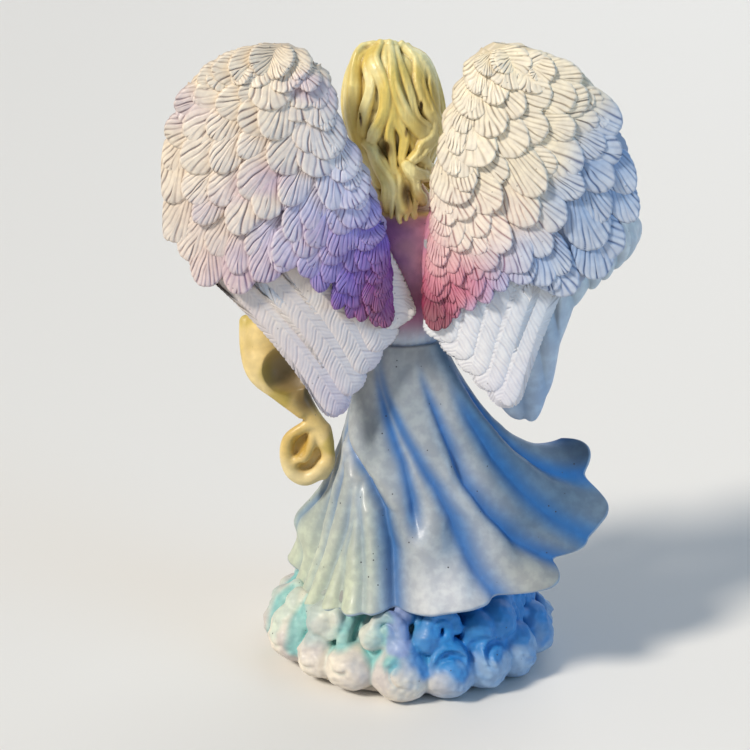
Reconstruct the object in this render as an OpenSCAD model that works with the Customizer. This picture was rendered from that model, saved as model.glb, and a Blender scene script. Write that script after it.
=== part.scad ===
// Winged angel statuette of cast resin, standing on a cloud.
// Millimetres. +Z is up, the figure faces -Y, its left hand is on +X.
// The origin is the centre of the flat underside.

/* [Cloud base] */
// Distance from the centre to the middle of the outer ring of puffs
cloud_r = 38; // [36:0.5:42]
// Radius of a puff in the outer ring
puff_r = 9.5; // [8.5:0.25:10.5]
// Number of puffs in the outer ring
puff_count = 13; // [11:1:15]
// Height of the cloud mound under the gown
mound_h = 38; // [34:0.5:42]
// Thickness of the felt pad under the base
felt_t = 0.8; // [0.5:0.1:2]

/* [Gown] */
// Height of the waist seam
waist_z = 108; // [106:0.5:110]
// How far the gown spreads at its hem, as a share of the sculpted spread
hem_spread = 1; // [0.9:0.01:1.1]
// Depth of the deepest gown fold
fold_depth = 4; // [1:0.25:6]

/* [Wings] */
// Depth of the forward cup of a wing
wing_cup = 10; // [4:0.5:12]
// Thickness of a wing's core plate
core_t = 2.5; // [2:0.25:3.5]
// Thickness of one tier of feathers
tier_t = 1.1; // [0.8:0.1:1.4]
// Radius of the pins that carry the wings
wing_pin_r = 1.5; // [1:0.1:2]

/* [Head] */
// Radius of the head at the temples
head_r = 10; // [9.5:0.25:11]
// Radius of the neck
neck_r = 4.8; // [4:0.1:5.5]

/* [Hidden] */
$fn = 48;

LEFT = 1;
RIGHT = -1;
dowel_r = 2.5;
glue_gap = 0.05;
dowel_low = 18;
dowel_high = 62;
neck_z = 156;
neck_at = [4, 0];
head_at = [5, -2, 181.5];
pin_z = [128, 142];
pin_y = [4, 19.5];

// ---- curves and solids shared by the parts ----

function mix(a, b, t) = a + (b - a) * t;

// Catmull-Rom spline through p, open, t from 0 to 1
function spline(p, t) =
    let (last = len(p) - 1, k = min(floor(t * last), last - 1), f = t * last - k,
         a = p[max(k - 1, 0)], b = p[k], c = p[k + 1], d = p[min(k + 2, last)])
    0.5 * (2 * b + (c - a) * f + (2 * a - 5 * b + 4 * c - d) * f * f
        + (3 * b - a - 3 * c + d) * f * f * f);

// The same spline, closed: u from 0 to 360
function ring_spline(p, u) =
    let (n = len(p), s = u / 360 * n, k = floor(s), f = s - k,
         a = p[(k - 1 + n) % n], b = p[k % n], c = p[(k + 1) % n], d = p[(k + 2) % n])
    0.5 * (2 * b + (c - a) * f + (2 * a - 5 * b + 4 * c - d) * f * f
        + (3 * b - a - 3 * c + d) * f * f * f);

function mean(p) = [for (k = [0:2]) sum([for (q = p) q[k]]) / len(p)];
function sum(v, i = 0) = i >= len(v) ? 0 : v[i] + sum(v, i + 1);

// Closed solid through rings of equal length, each anticlockwise seen from the last ring's side
module loft(rings) {
    n = len(rings[0]);
    m = len(rings);
    points = concat([for (r = rings) each r], [mean(rings[0]), mean(rings[m - 1])]);
    sides = [for (j = [0:m - 2], i = [0:n - 1])
        let (a = j * n + i, b = j * n + (i + 1) % n)
        each [[a, a + n, b + n], [a, b + n, b]]];
    ends = [for (i = [0:n - 1])
        each [[i, (i + 1) % n, m * n],
              [(m - 1) * n + (i + 1) % n, (m - 1) * n + i, m * n + 1]]];
    polyhedron(points, concat(sides, ends), convexity = 6);
}

// Closed plate between two grids of points of equal size; low faces -Y and high faces +Y
module plate(low, high) {
    m = len(low);
    n = len(low[0]);
    h = m * n;
    points = concat([for (r = low) each r], [for (r = high) each r]);
    skins = [for (j = [0:m - 2], i = [0:n - 2])
        let (a = j * n + i)
        each [[a, a + n + 1, a + n], [a, a + 1, a + n + 1],
              [a + h, a + h + n, a + h + n + 1], [a + h, a + h + n + 1, a + h + 1]]];
    rim_i = [for (i = [0:n - 2], j = [0, m - 1])
        let (a = j * n + i)
        each j == 0 ? [[a, a + h + 1, a + 1], [a, a + h, a + h + 1]]
                    : [[a, a + 1, a + h + 1], [a, a + h + 1, a + h]]];
    rim_j = [for (j = [0:m - 2], i = [0, n - 1])
        let (a = j * n + i)
        each i == 0 ? [[a, a + n, a + h + n], [a, a + h + n, a + h]]
                    : [[a, a + h + n, a + n], [a, a + h, a + h + n]]];
    polyhedron(points, concat(skins, rim_i, rim_j), convexity = 6);
}

function ellipse_ring(c, rx, ry, n = 24) =
    [for (i = [0:n - 1]) c + [rx * cos(360 * i / n), ry * sin(360 * i / n), 0]];

// ---- cloud base ----

// Each ring of puffs: how many fewer it has, how far in it sits, its height and how much smaller
puff_rows = [[0, 0, -2, 0], [2, 6, 7, 1.5], [4, 13, 16, 2.5]];

module felt_pad() {
    color("dimgray") cylinder(r = cloud_r - 3, h = felt_t);
}

module cloud_base() {
    color([0.86, 0.92, 0.94])
    difference() {
        union() {
            rotate_extrude()
                polygon(concat([[0, felt_t]],
                    [for (a = [0:10:90])
                        [(cloud_r - 1) * cos(a) ^ 0.7, felt_t + (mound_h - felt_t) * sin(a)]]));
            for (row = puff_rows, i = [0:puff_count - row[0] - 1])
                rotate(360 * (i + row[0] / 4) / (puff_count - row[0]))
                    translate([cloud_r - row[1], 0, puff_r + row[2]])
                        sphere(r = puff_r - row[3]);
        }
        translate([0, 0, -20])
            cylinder(r = 2 * cloud_r, h = 20 + felt_t);
        translate([0, 0, dowel_low])
            cylinder(r = dowel_r + glue_gap, h = mound_h);
    }
}

module body_dowel() {
    color("silver")
        translate([0, 0, dowel_low])
            cylinder(r = dowel_r, h = dowel_high - dowel_low);
}

// ---- gown ----

// The hem, every 20 degrees round from the figure's left by its back
hem = [
    [34, 4, 22], [33, 16, 23], [25, 27, 26], [12, 36, 29], [-7, 39, 31], [-25, 38, 34],
    [-43, 33, 39], [-57, 24, 49], [-62, 13, 61], [-56, 1, 77], [-49, -10, 68], [-40, -22, 48],
    [-28, -31, 31], [-12, -36, 23], [6, -37, 20], [22, -32, 20], [37, -22, 26], [38, -8, 24],
];
waist_at = [2, 2];
waist_r = [13, 10.5];

// Folds: where round the hem, how deep as a share of fold_depth, and how wide in degrees
folds = [
    [-12, 0.7, 9], [12, 0.5, 6], [29, 0.5, 6], [44, 0.6, 6], [63, 1, 6], [88, 0.4, 8],
    [114, 0.8, 9], [139, 1, 6], [172, 0.9, 8], [202, 0.7, 8], [226, 0.8, 9], [250, 0.6, 7],
    [272, 0.9, 9], [295, 0.7, 8], [318, 0.9, 8],
];

function wrap(a) = a - 360 * round(a / 360);
function fold(u) = fold_depth * (0.35 - sum([for (f = folds) f[1] * exp(-(wrap(u - f[0]) / f[2]) ^ 2)]));

// A point of the gown: u round it, t from the waist at 0 to the hem at 1
function gown(u, t) =
    let (w = [waist_at[0] + waist_r[0] * cos(u), waist_at[1] + waist_r[1] * sin(u), waist_z],
         h0 = ring_spline(hem, (u + 360) % 360),
         h = [mix(w[0], h0[0], hem_spread), mix(w[1], h0[1], hem_spread), h0[2]],
         k = [mix(w[0], h[0], 0.42), mix(w[1], h[1], 0.42), mix(w[2], h[2], 0.7)],
         p = (1 - t) * (1 - t) * w + 2 * t * (1 - t) * k + t * t * h,
         out = [p[0] - waist_at[0], p[1] - waist_at[1], 0])
    p + out / norm(out) * fold(u) * (0.15 + 0.85 * t) * t ^ 0.5;

module gown_skirt() {
    n = 60;
    lip = 2.2;
    // Rings run from the hollow under the hem, out over the lip, and up to the waist
    under = [for (s = [0.35, 0.9])
        [for (i = [0:n - 1])
            let (p = gown(360 * i / n, 1))
            [p[0] * s, p[1] * s, mix(mound_h + 2, p[2] + 0.4, s ^ 2)]]];
    outer = [for (t = [1:-0.1:0]) [for (i = [0:n - 1]) gown(360 * i / n, t)]];
    color([0.72, 0.8, 0.88])
    difference() {
        loft(concat(under, outer));
        translate([0, 0, dowel_low])
            cylinder(r = dowel_r + glue_gap, h = dowel_high - dowel_low);
    }
}

// Height, centre and half sizes of the bodice's sections
bodice = [
    [waist_z, 2, 2, 13, 10.5], [113, 2, 2, 12.5, 10.5], [122, 2, 1.5, 14.5, 12], [132, 2.5, 1, 17, 13],
    [142, 3, 1, 18, 12.5], [149, 3.3, 0.5, 16.5, 10.5], [153, 3.8, 0, 11, 8], [neck_z, 4, 0, 6.5, 6.3],
];

module gown_bodice() {
    color([0.86, 0.87, 0.88])
    difference() {
        union() {
            loft([for (b = bodice) ellipse_ring([b[1], b[2], b[0]], b[3], b[4])]);
            // A boss behind each pin carries the root of a wing
            for (side = [LEFT, RIGHT], z = pin_z)
                translate([side * 8 + 2, pin_y[0], z])
                    rotate([-90, 0, 0])
                        cylinder(r = 5.5, h = 12.5);
        }
        wing_pins_shape(wing_pin_r + glue_gap);
        translate([neck_at[0], neck_at[1], neck_z - 9])
            cylinder(r = wing_pin_r + glue_gap, h = 10);
        for (side = [LEFT, RIGHT])
            wing_blank(side);
    }
}

module wing_pins_shape(r) {
    for (side = [LEFT, RIGHT], z = pin_z)
        translate([side * 8 + 2, pin_y[0], z])
            rotate([-90, 0, 0])
                cylinder(r = r, h = pin_y[1] - pin_y[0]);
}

module wing_pins() {
    color("silver") wing_pins_shape(wing_pin_r);
}

// ---- head and hair ----

module neck_pin() {
    color("silver")
        translate([neck_at[0], neck_at[1], neck_z - 9])
            cylinder(r = wing_pin_r, h = 18);
}

// Egg of the head, grown by g on every side
module egg(g) {
    translate(head_at)
        rotate_extrude()
            polygon([for (a = [-90:7.5:90])
                [(head_r + g) * cos(a) * (1 + 0.1 * sin(a)), (14.5 + g) * sin(a)]]);
}

module head() {
    color([0.93, 0.78, 0.68])
    difference() {
        union() {
            egg(0);
            translate([neck_at[0], neck_at[1], neck_z])
                cylinder(r = neck_r, h = 20);
        }
        translate([neck_at[0], neck_at[1], neck_z - 1])
            cylinder(r = wing_pin_r + glue_gap, h = 10.5);
    }
}

// Height, centre and half sizes of the hair's sections, tail first
hair_sections = [
    [147, 1.4, 16, 3.5, 2.2], [152, 1.6, 14.5, 6, 3.8], [158, 2.4, 12, 7.5, 5.5], [164, 4, 8, 10, 8.5],
    [170, 5, 3.5, 13, 11], [180, 5.2, 1, 14.3, 13], [189, 5.6, 0, 13.4, 13],
    [196, 6, 0, 9.6, 9.6], [200, 6.3, 0.5, 4, 4],
];

module hair() {
    color([0.85, 0.74, 0.35])
    difference() {
        loft([for (s = hair_sections) ellipse_ring([s[1], s[2], s[0]], s[3], s[4], 28)]);
        egg(0.05);
        translate([neck_at[0], neck_at[1], neck_z])
            cylinder(r = neck_r + 0.05, h = 20);
        // The face stays clear
        translate([head_at[0] - 8, -30, 150])
            cube([16, 24, 41]);
    }
}

// ---- arms, hands and shawl ----

// The right arm reaches out and bends forward, and its sleeve hangs from it: for each
// section its middle in X and Y, top, lowest point, half thickness and turn about Z
right_sections = [
    [-14, 0, 150.5, 124, 7.5, 0], [-22, 1, 151.5, 108, 7, 0], [-31, 3, 151.5, 90, 6.5, 0],
    [-39, 4.5, 151, 84, 6, 0], [-47, 5, 150, 92, 6, 0], [-54, 4.5, 149.5, 108, 6, 8],
    [-61, 2.5, 148.5, 121, 6, 22], [-66.3, -2, 147.5, 129, 6.2, 48], [-68.3, -9, 147, 131, 6.7, 76],
];

function sleeve_ring(s, n = 16) =
    let (mid = (s[2] + s[3]) / 2, half = (s[2] - s[3]) / 2)
    [for (i = [0:n - 1])
        let (a = 360 * i / n, out = s[4] * sin(a) * (0.85 + 0.15 * cos(a)))
        [s[0] - out * sin(s[5]), s[1] + out * cos(s[5]), mid + half * cos(a)]];

module right_sleeve() {
    color([0.8, 0.86, 0.88])
    difference() {
        loft([for (s = right_sections) sleeve_ring(s)]);
        bodice_clearance();
    }
}

module bodice_clearance() {
    loft([for (b = bodice) ellipse_ring([b[1], b[2], b[0] + (b[0] == waist_z ? -1 : 0.01)],
                                        b[3] + 0.05, b[4] + 0.05)]);
}

// The left arm hangs to the elbow and reaches forward: centre and radius of each section
left_sections = [
    [15, 0, 146, 7], [20, 0, 138, 7.5], [25, -1, 128, 7.5], [27.5, -7, 121, 8], [29, -15, 120, 9.5],
    [30, -23, 121, 11],
];

// A ring about p, square to direction d
function tube_ring(p, d, rx, rz, n = 16) =
    let (along = d / norm(d), side = cross(along, [0, 0, 1]) / norm(cross(along, [0, 0, 1])),
         up = cross(along, side))
    [for (i = [0:n - 1]) let (a = 360 * i / n) p + side * rx * cos(a) + up * rz * sin(a)];

function path_dir(p, i) = p[min(i + 1, len(p) - 1)] - p[max(i - 1, 0)];

module left_sleeve_shape(g) {
    at = [for (s = left_sections) [s[0], s[1], s[2]]];
    loft([for (i = [0:len(at) - 1])
        let (r = left_sections[i][3] + g)
        tube_ring(at[i], path_dir(at, i), r, r)]);
}

module left_sleeve() {
    color([0.8, 0.86, 0.88])
    difference() {
        left_sleeve_shape(0);
        bodice_clearance();
    }
}

module hand(wrist, tip) {
    at = [wrist, mix(wrist, tip, 0.3), mix(wrist, tip, 0.55), mix(wrist, tip, 0.8), tip];
    wide = [2.6, 3.2, 4, 3.4, 1.2];
    thick = [2.2, 2, 1.7, 1.4, 0.8];
    loft([for (i = [0:len(at) - 1])
        tube_ring(at[i], tip - wrist, wide[i], thick[i], 12)]);
}

module right_hand() {
    color([0.93, 0.78, 0.68]) hand([-68.6, -9.8, 139.5], [-67, -28, 143]);
}

module left_hand() {
    color([0.93, 0.78, 0.68]) hand([30.2, -23.6, 121.5], [29, -39, 126]);
}

// The shawl loops over the left forearm and hangs down outside it: centre, and half sizes
// across its run and along Y
shawl_sections = [
    [18.4, -13, 123.5, 2.4, 5], [23.5, -13, 129.8, 3, 7.5], [31.5, -13, 131, 3.2, 8.5],
    [38.5, -12, 127, 3.6, 8.5], [43.5, -9, 120.5, 4.8, 8.5], [45.8, -5, 113.5, 6.8, 8.3],
    [45.8, -2, 106.5, 8.2, 8], [42, 0, 96, 10.6, 7.5], [36, 1, 86, 8.5, 5.5], [31, 2, 79, 4.5, 3.4],
    [29.5, 2, 73.5, 4.5, 3.2], [31.5, 1, 67, 8, 4.6], [34, 0, 60, 6.5, 3.6], [35.5, 0, 56.5, 3, 2],
];

module shawl() {
    at = [for (s = shawl_sections) [s[0], s[1], s[2]]];
    color([0.83, 0.72, 0.42])
    difference() {
        loft([for (i = [0:len(at) - 1])
            let (s = shawl_sections[i], d = path_dir(at, i),
                 across = [d[2], 0, -d[0]] / norm([d[2], 0, -d[0]]))
            [for (k = [0:15])
                let (a = 22.5 * k)
                at[i] + across * s[3] * cos(a) + [0, s[4] * sin(a), 0]]]);
        gown_clearance();
        left_sleeve_shape(glue_gap);
    }
}

// The gown's skirt grown a little, to keep its neighbours clear of it
module gown_clearance() {
    loft([for (t = [0.75:-0.125:0]) [for (i = [0:35]) gown(10 * i, t)]]);
}

// ---- wings ----

// Leading edge of each wing from its root up to its crest, and the outline its coverts
// reach, from the inner end round the outer end to the crest: X and Z
lead = [
    [[4.9, 125], [6.2, 140], [9, 154], [13.8, 166], [18.1, 176], [22, 187], [27, 195.5], [34.5, 200.5]],
    [[-5, 125], [-6.9, 139], [-8.2, 151], [-9.8, 163], [-13, 176], [-17, 189], [-20, 196], [-23, 201.5]],
];
reach = [
    [[3.5, 112], [12, 117.5], [27, 123], [45, 128], [60.5, 130], [70, 141], [74.5, 154], [72.5, 170],
     [64, 187], [50, 198.5]],
    [[-7, 118], [-16, 125], [-28, 130], [-42, 131], [-55, 131], [-65.5, 145], [-66.5, 161], [-62.5, 174],
     [-54, 187.5], [-38, 200]],
];

function wing_index(side) = side == LEFT ? 0 : 1;
function wing_y(x, z) =
    17 + wing_cup * sin(2.4 * (abs(x) - 2)) - 7 * (max(0, z - 150) / 52) ^ 2;

// A point of a wing: u along the leading edge, v from it out to the reach, off its thickness
function wing(side, u, v, off) =
    let (p = mix(spline(lead[wing_index(side)], u), spline(reach[wing_index(side)], u), v))
    [p[0], wing_y(p[0], p[1]) + off, p[1]];

// Rows of feather tips: where each starts, how far it reaches, and how many feathers it has
greater = [0.02, 1, 12];
median = [0.03, 0.76, 10];
lesser = [0.04, 0.52, 8];
shoulder = [0.05, 0.28, 6];

function scallop(u, count) = 0.06 * abs(cos(180 * u * count));

// One tier of coverts, a plate whose far edge is scalloped by its feather tips
module tier(side, row, off, t) {
    nu = 3 * row[2];
    nv = 5;
    grid = function (o) [for (j = [0:nv])
        [for (i = [0:nu])
            let (u = i / nu)
            wing(side, side == LEFT ? u : 1 - u, mix(row[0], row[1] - scallop(u, row[2]), j / nv), o)]];
    plate(grid(off), grid(off + t));
}

module wing_core(side) {
    color([0.9, 0.86, 0.82])
    difference() {
        tier(side, [0.01, 0.98, 10], -core_t / 2, core_t);
        wing_pins_shape(wing_pin_r + glue_gap);
    }
}

module wing_tier(side, row, level) {
    color([0.9, 0.84, 0.86])
        tier(side, row, core_t / 2 + glue_gap + level * tier_t, tier_t - glue_gap);
}

// The front tiers bed over the flight feathers, which they clasp against the core
module wing_front(side) {
    deep = core_t / 2 + lap_t;
    color([0.92, 0.9, 0.9])
    difference() {
        union() {
            tier(side, greater, -deep - tier_t, lap_t + tier_t);
            tier(side, lesser, -deep - 2 * tier_t, 1.3 * tier_t);
        }
        flight_shape(side, above = 1);
        wing_pins_shape(wing_pin_r + glue_gap);
    }
}

// Everything inside the coverts' outline, through the wing's whole thickness
module wing_blank(side) {
    low = -core_t / 2 - lap_t - 2 * tier_t - glue_gap;
    grid = function (o) [for (j = [0:2])
        [for (i = [0:24])
            wing(side, side == LEFT ? i / 24 : 1 - i / 24, j / 2 - 0.1, o)]];
    plate(grid(low), grid(9));
}

// Long flight feathers: root and tip of the outermost and of the innermost, X and Z
flight = [
    [[54, 133], [22, 90], [17, 138], [3, 117]],
    [[-50, 135], [-28, 94], [-20, 136], [-9, 113]],
];
flight_count = 5;
flight_w = 10.4;
lap_t = 1.8;
blade_t = 0.95;

module flight_shape(side, above = 0) {
    f = flight[wing_index(side)];
    for (k = [0:flight_count - 1]) {
        s = k / (flight_count - 1);
        root = mix(f[0], f[2], s);
        tip = mix(f[1], f[3], s);
        d = (tip - root) / norm(tip - root);
        across = [-d[1], d[0]];
        off = -core_t / 2 - lap_t + s * (lap_t - blade_t);
        grid = function (o) [for (j = [0:10])
            let (t = j / 10, taper = max(0, (t - 0.8) * 5), half = flight_w / 2 * sqrt(1 - 0.96 * taper * taper))
            [for (i = [-1:1])
                let (q = mix(root, tip, t) + across * i * half)
                [q[0], wing_y(q[0], q[1]) + o, q[1]]]];
        plate(grid(off), grid(off + blade_t + above));
    }
}

module wing_primaries(side) {
    color([0.93, 0.93, 0.94])
        flight_shape(side);
}

felt_pad();
cloud_base();
body_dowel();
gown_skirt();
gown_bodice();
wing_pins();
neck_pin();
head();
hair();
right_sleeve();
left_sleeve();
right_hand();
left_hand();
shawl();
wing_core(LEFT);  // left_wing_core
wing_primaries(LEFT);  // left_wing_primaries
wing_tier(LEFT, greater, 0);  // left_wing_greater_coverts
wing_tier(LEFT, median, 1);  // left_wing_median_coverts
wing_tier(LEFT, lesser, 2);  // left_wing_lesser_coverts
wing_tier(LEFT, shoulder, 3);  // left_wing_shoulder_coverts
wing_front(LEFT);  // left_wing_front_coverts
wing_core(RIGHT);  // right_wing_core
wing_primaries(RIGHT);  // right_wing_primaries
wing_tier(RIGHT, greater, 0);  // right_wing_greater_coverts
wing_tier(RIGHT, median, 1);  // right_wing_median_coverts
wing_tier(RIGHT, lesser, 2);  // right_wing_lesser_coverts
wing_tier(RIGHT, shoulder, 3);  // right_wing_shoulder_coverts
wing_front(RIGHT);  // right_wing_front_coverts
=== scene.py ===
import math

import bpy
import numpy as np
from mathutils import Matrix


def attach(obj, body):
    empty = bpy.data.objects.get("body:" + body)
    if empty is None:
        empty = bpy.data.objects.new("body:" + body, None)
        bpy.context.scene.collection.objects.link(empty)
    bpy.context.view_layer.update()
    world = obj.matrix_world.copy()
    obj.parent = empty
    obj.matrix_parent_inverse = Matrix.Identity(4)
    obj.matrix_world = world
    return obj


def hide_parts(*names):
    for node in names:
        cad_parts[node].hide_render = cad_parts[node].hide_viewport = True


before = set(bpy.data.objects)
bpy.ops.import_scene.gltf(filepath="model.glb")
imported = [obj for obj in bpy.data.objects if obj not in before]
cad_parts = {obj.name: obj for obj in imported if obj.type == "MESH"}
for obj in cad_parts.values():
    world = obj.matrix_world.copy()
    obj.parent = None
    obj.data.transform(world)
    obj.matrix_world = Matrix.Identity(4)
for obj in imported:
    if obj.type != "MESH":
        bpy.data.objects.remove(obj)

import openvdb as vdb
from mathutils import Vector

# Lengths are millimetres until a mesh is made, then metres. +Z is up, the figure faces -Y.
MM = 0.001
LEFT, RIGHT = 1, -1
WAVES = 9
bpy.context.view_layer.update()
rng = np.random.default_rng(11)


# ---- numbers, curves and noise ----

def smooth(lo, hi, x):
    """0 at lo, 1 at hi, and eased between them."""
    t = np.clip((np.asarray(x, float) - lo) / (hi - lo), 0, 1)
    return t * t * (3 - 2 * t)


def catmull_rom(a, b, c, d, f):
    return 0.5 * (2 * b + (c - a) * f + (2 * a - 5 * b + 4 * c - d) * f**2 + (3 * b - a - 3 * c + d) * f**3)


def spline(points, t):
    """Catmull-Rom through the points, open; t is an array from 0 to 1."""
    p = np.asarray(points, float)
    s = np.clip(np.asarray(t, float), 0, 1) * (len(p) - 1)
    k = np.minimum(s.astype(int), len(p) - 2)
    f = (s - k)[..., None]
    return catmull_rom(p[np.maximum(k - 1, 0)], p[k], p[k + 1], p[np.minimum(k + 2, len(p) - 1)], f)


def ring_spline(points, u):
    """The same curve closed on itself; u is in degrees."""
    p = np.asarray(points, float)
    n = len(p)
    s = (np.asarray(u, float) % 360) / 360 * n
    k = s.astype(int)
    f = (s - k)[..., None]
    return catmull_rom(p[(k - 1) % n], p[k % n], p[(k + 1) % n], p[(k + 2) % n], f)


def ripple(p, size, seed):
    """Smooth noise from about -1 to 1 with features of that size: the sum of a few waves."""
    r = np.random.default_rng(seed)
    k = r.normal(size=(WAVES, 3))
    k *= (2 * np.pi / size * r.uniform(0.6, 1.5, WAVES) / np.linalg.norm(k, axis=1))[:, None]
    phase = r.uniform(0, 2 * np.pi, WAVES)
    return np.sin(p @ k.T + phase).sum(-1) / math.sqrt(WAVES)


def bell(*terms):
    """1 where each value is at its middle, less away from it; each term is a value, its middle and width."""
    return np.exp(-sum(((x - middle) / width) ** 2 for x, middle, width in terms))


def spot(verts, centre, size, power):
    """1 inside an ellipsoid of that size, fading outside it; a higher power fades faster."""
    return np.exp(-(np.linalg.norm((verts - centre) / size, axis=1) ** power))


def unit(v, least=1e-6):
    """Rows of directions, each made one long."""
    return v / np.maximum(np.linalg.norm(v, axis=-1, keepdims=True), least)


def turn_of(n):
    """A full turn in n steps, in radians."""
    return np.arange(n) * 2 * np.pi / n


def to_line(verts, points):
    """Distance from each vertex to a line of points."""
    best = np.full(len(verts), 1e9)
    for a, b in zip(points[:-1], points[1:]):
        a, b = np.asarray(a), np.asarray(b)
        t = np.clip((verts - a) @ (b - a) / ((b - a) @ (b - a)), 0, 1)
        best = np.minimum(best, np.linalg.norm(verts - a - t[:, None] * (b - a), axis=1))
    return best


def srgb(*c):
    """Linear colour from sRGB values."""
    c = np.asarray(c, float)
    return np.where(c <= 0.04045, c / 12.92, ((c + 0.055) / 1.055) ** 2.4)


def stops(x, table):
    """Colour ramp over an array; the table holds (value, sRGB colour)."""
    at = [row[0] for row in table]
    c = np.array([srgb(*row[1]) for row in table])
    return np.stack([np.interp(x, at, c[:, i]) for i in range(3)], -1)


def blend(a, b, t):
    """From colours a to b, by a share t for each point."""
    return a + (b - a) * np.asarray(t)[..., None]


def coats(c, *layers):
    """Paint laid over a colour, coat by coat; each is an sRGB colour and how much of it shows."""
    for colour, share in layers:
        c = blend(c, srgb(*colour), share)
    return c


# ---- meshes ----

def grid_faces(rows, columns, wrap):
    """Squares over rows of points; wrap joins each row's end to its start."""
    j, i = np.meshgrid(np.arange(rows - 1), np.arange(columns if wrap else columns - 1), indexing="ij")
    n = (i + 1) % columns
    j, below = j * columns, (j + 1) * columns
    return np.stack([j + i, j + n, below + n, below + i], -1).reshape(-1, 4)


def fan(ring, centre):
    """Triangles from each side of a ring to one centre point."""
    return np.stack([ring, np.roll(ring, -1), np.full(len(ring), centre)], -1)


def close_ends(verts, columns, reverse_first, middles=None):
    """Add a middle point to a tube's first and last rings, and the fans of triangles that close its ends."""
    n = len(verts)
    if middles is None:
        middles = [verts[:columns].mean(0), verts[-columns:].mean(0)]
    first, last = np.arange(columns), np.arange(n - columns, n)
    if reverse_first:
        first = first[::-1]
    else:
        last = last[::-1]
    return np.concatenate([verts, middles]), np.concatenate([fan(first, n), fan(last, n + 1)])


def make(name, verts, faces, material, paint, wash, replaces):
    """A mesh piece. faces is a list of index arrays, turned to face outwards here if they don't;
    paint is a colour per vertex, and the array after it, from 0 to 1, how much paint washes and painted shade
    darken each vertex."""
    corners = np.asarray(verts, float)
    volume = sum(
        np.einsum("ij,ij->", corners[f[:, 0]], np.cross(corners[f[:, k]], corners[f[:, k + 1]]))
        for f in faces for k in range(1, f.shape[1] - 1)
    )
    if volume < 0:
        faces = [f[:, ::-1] for f in faces]
    loops = np.concatenate([np.asarray(f).ravel() for f in faces]).astype(np.int32)
    totals = np.concatenate([np.full(len(f), np.asarray(f).shape[1]) for f in faces]).astype(np.int32)
    mesh = bpy.data.meshes.new(name)
    mesh.vertices.add(len(verts))
    mesh.vertices.foreach_set("co", (np.asarray(verts, np.float32) * MM).ravel())
    mesh.loops.add(len(loops))
    mesh.loops.foreach_set("vertex_index", loops)
    mesh.polygons.add(len(totals))
    mesh.polygons.foreach_set("loop_start", np.concatenate([[0], np.cumsum(totals)[:-1]]).astype(np.int32))
    mesh.update(calc_edges=True)
    mesh.validate()
    mesh.polygons.foreach_set("use_smooth", np.ones(len(mesh.polygons), bool))
    colour = mesh.color_attributes.new("paint", "FLOAT_COLOR", "POINT")
    rgba = np.ones((len(verts), 4), np.float32)
    rgba[:, :3] = np.clip(paint, 0, 1)
    colour.data.foreach_set("color", rgba.ravel())
    recess = mesh.attributes.new("wash", "FLOAT", "POINT")
    recess.data.foreach_set("value", np.clip(wash, 0, 1).astype(np.float32))
    mesh.materials.append(material)
    piece = bpy.data.objects.new(name, mesh)
    bpy.context.scene.collection.objects.link(piece)
    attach(piece, "root")
    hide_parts(*replaces)


# ---- clay: smooth unions of simple shapes on a grid ----

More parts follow.
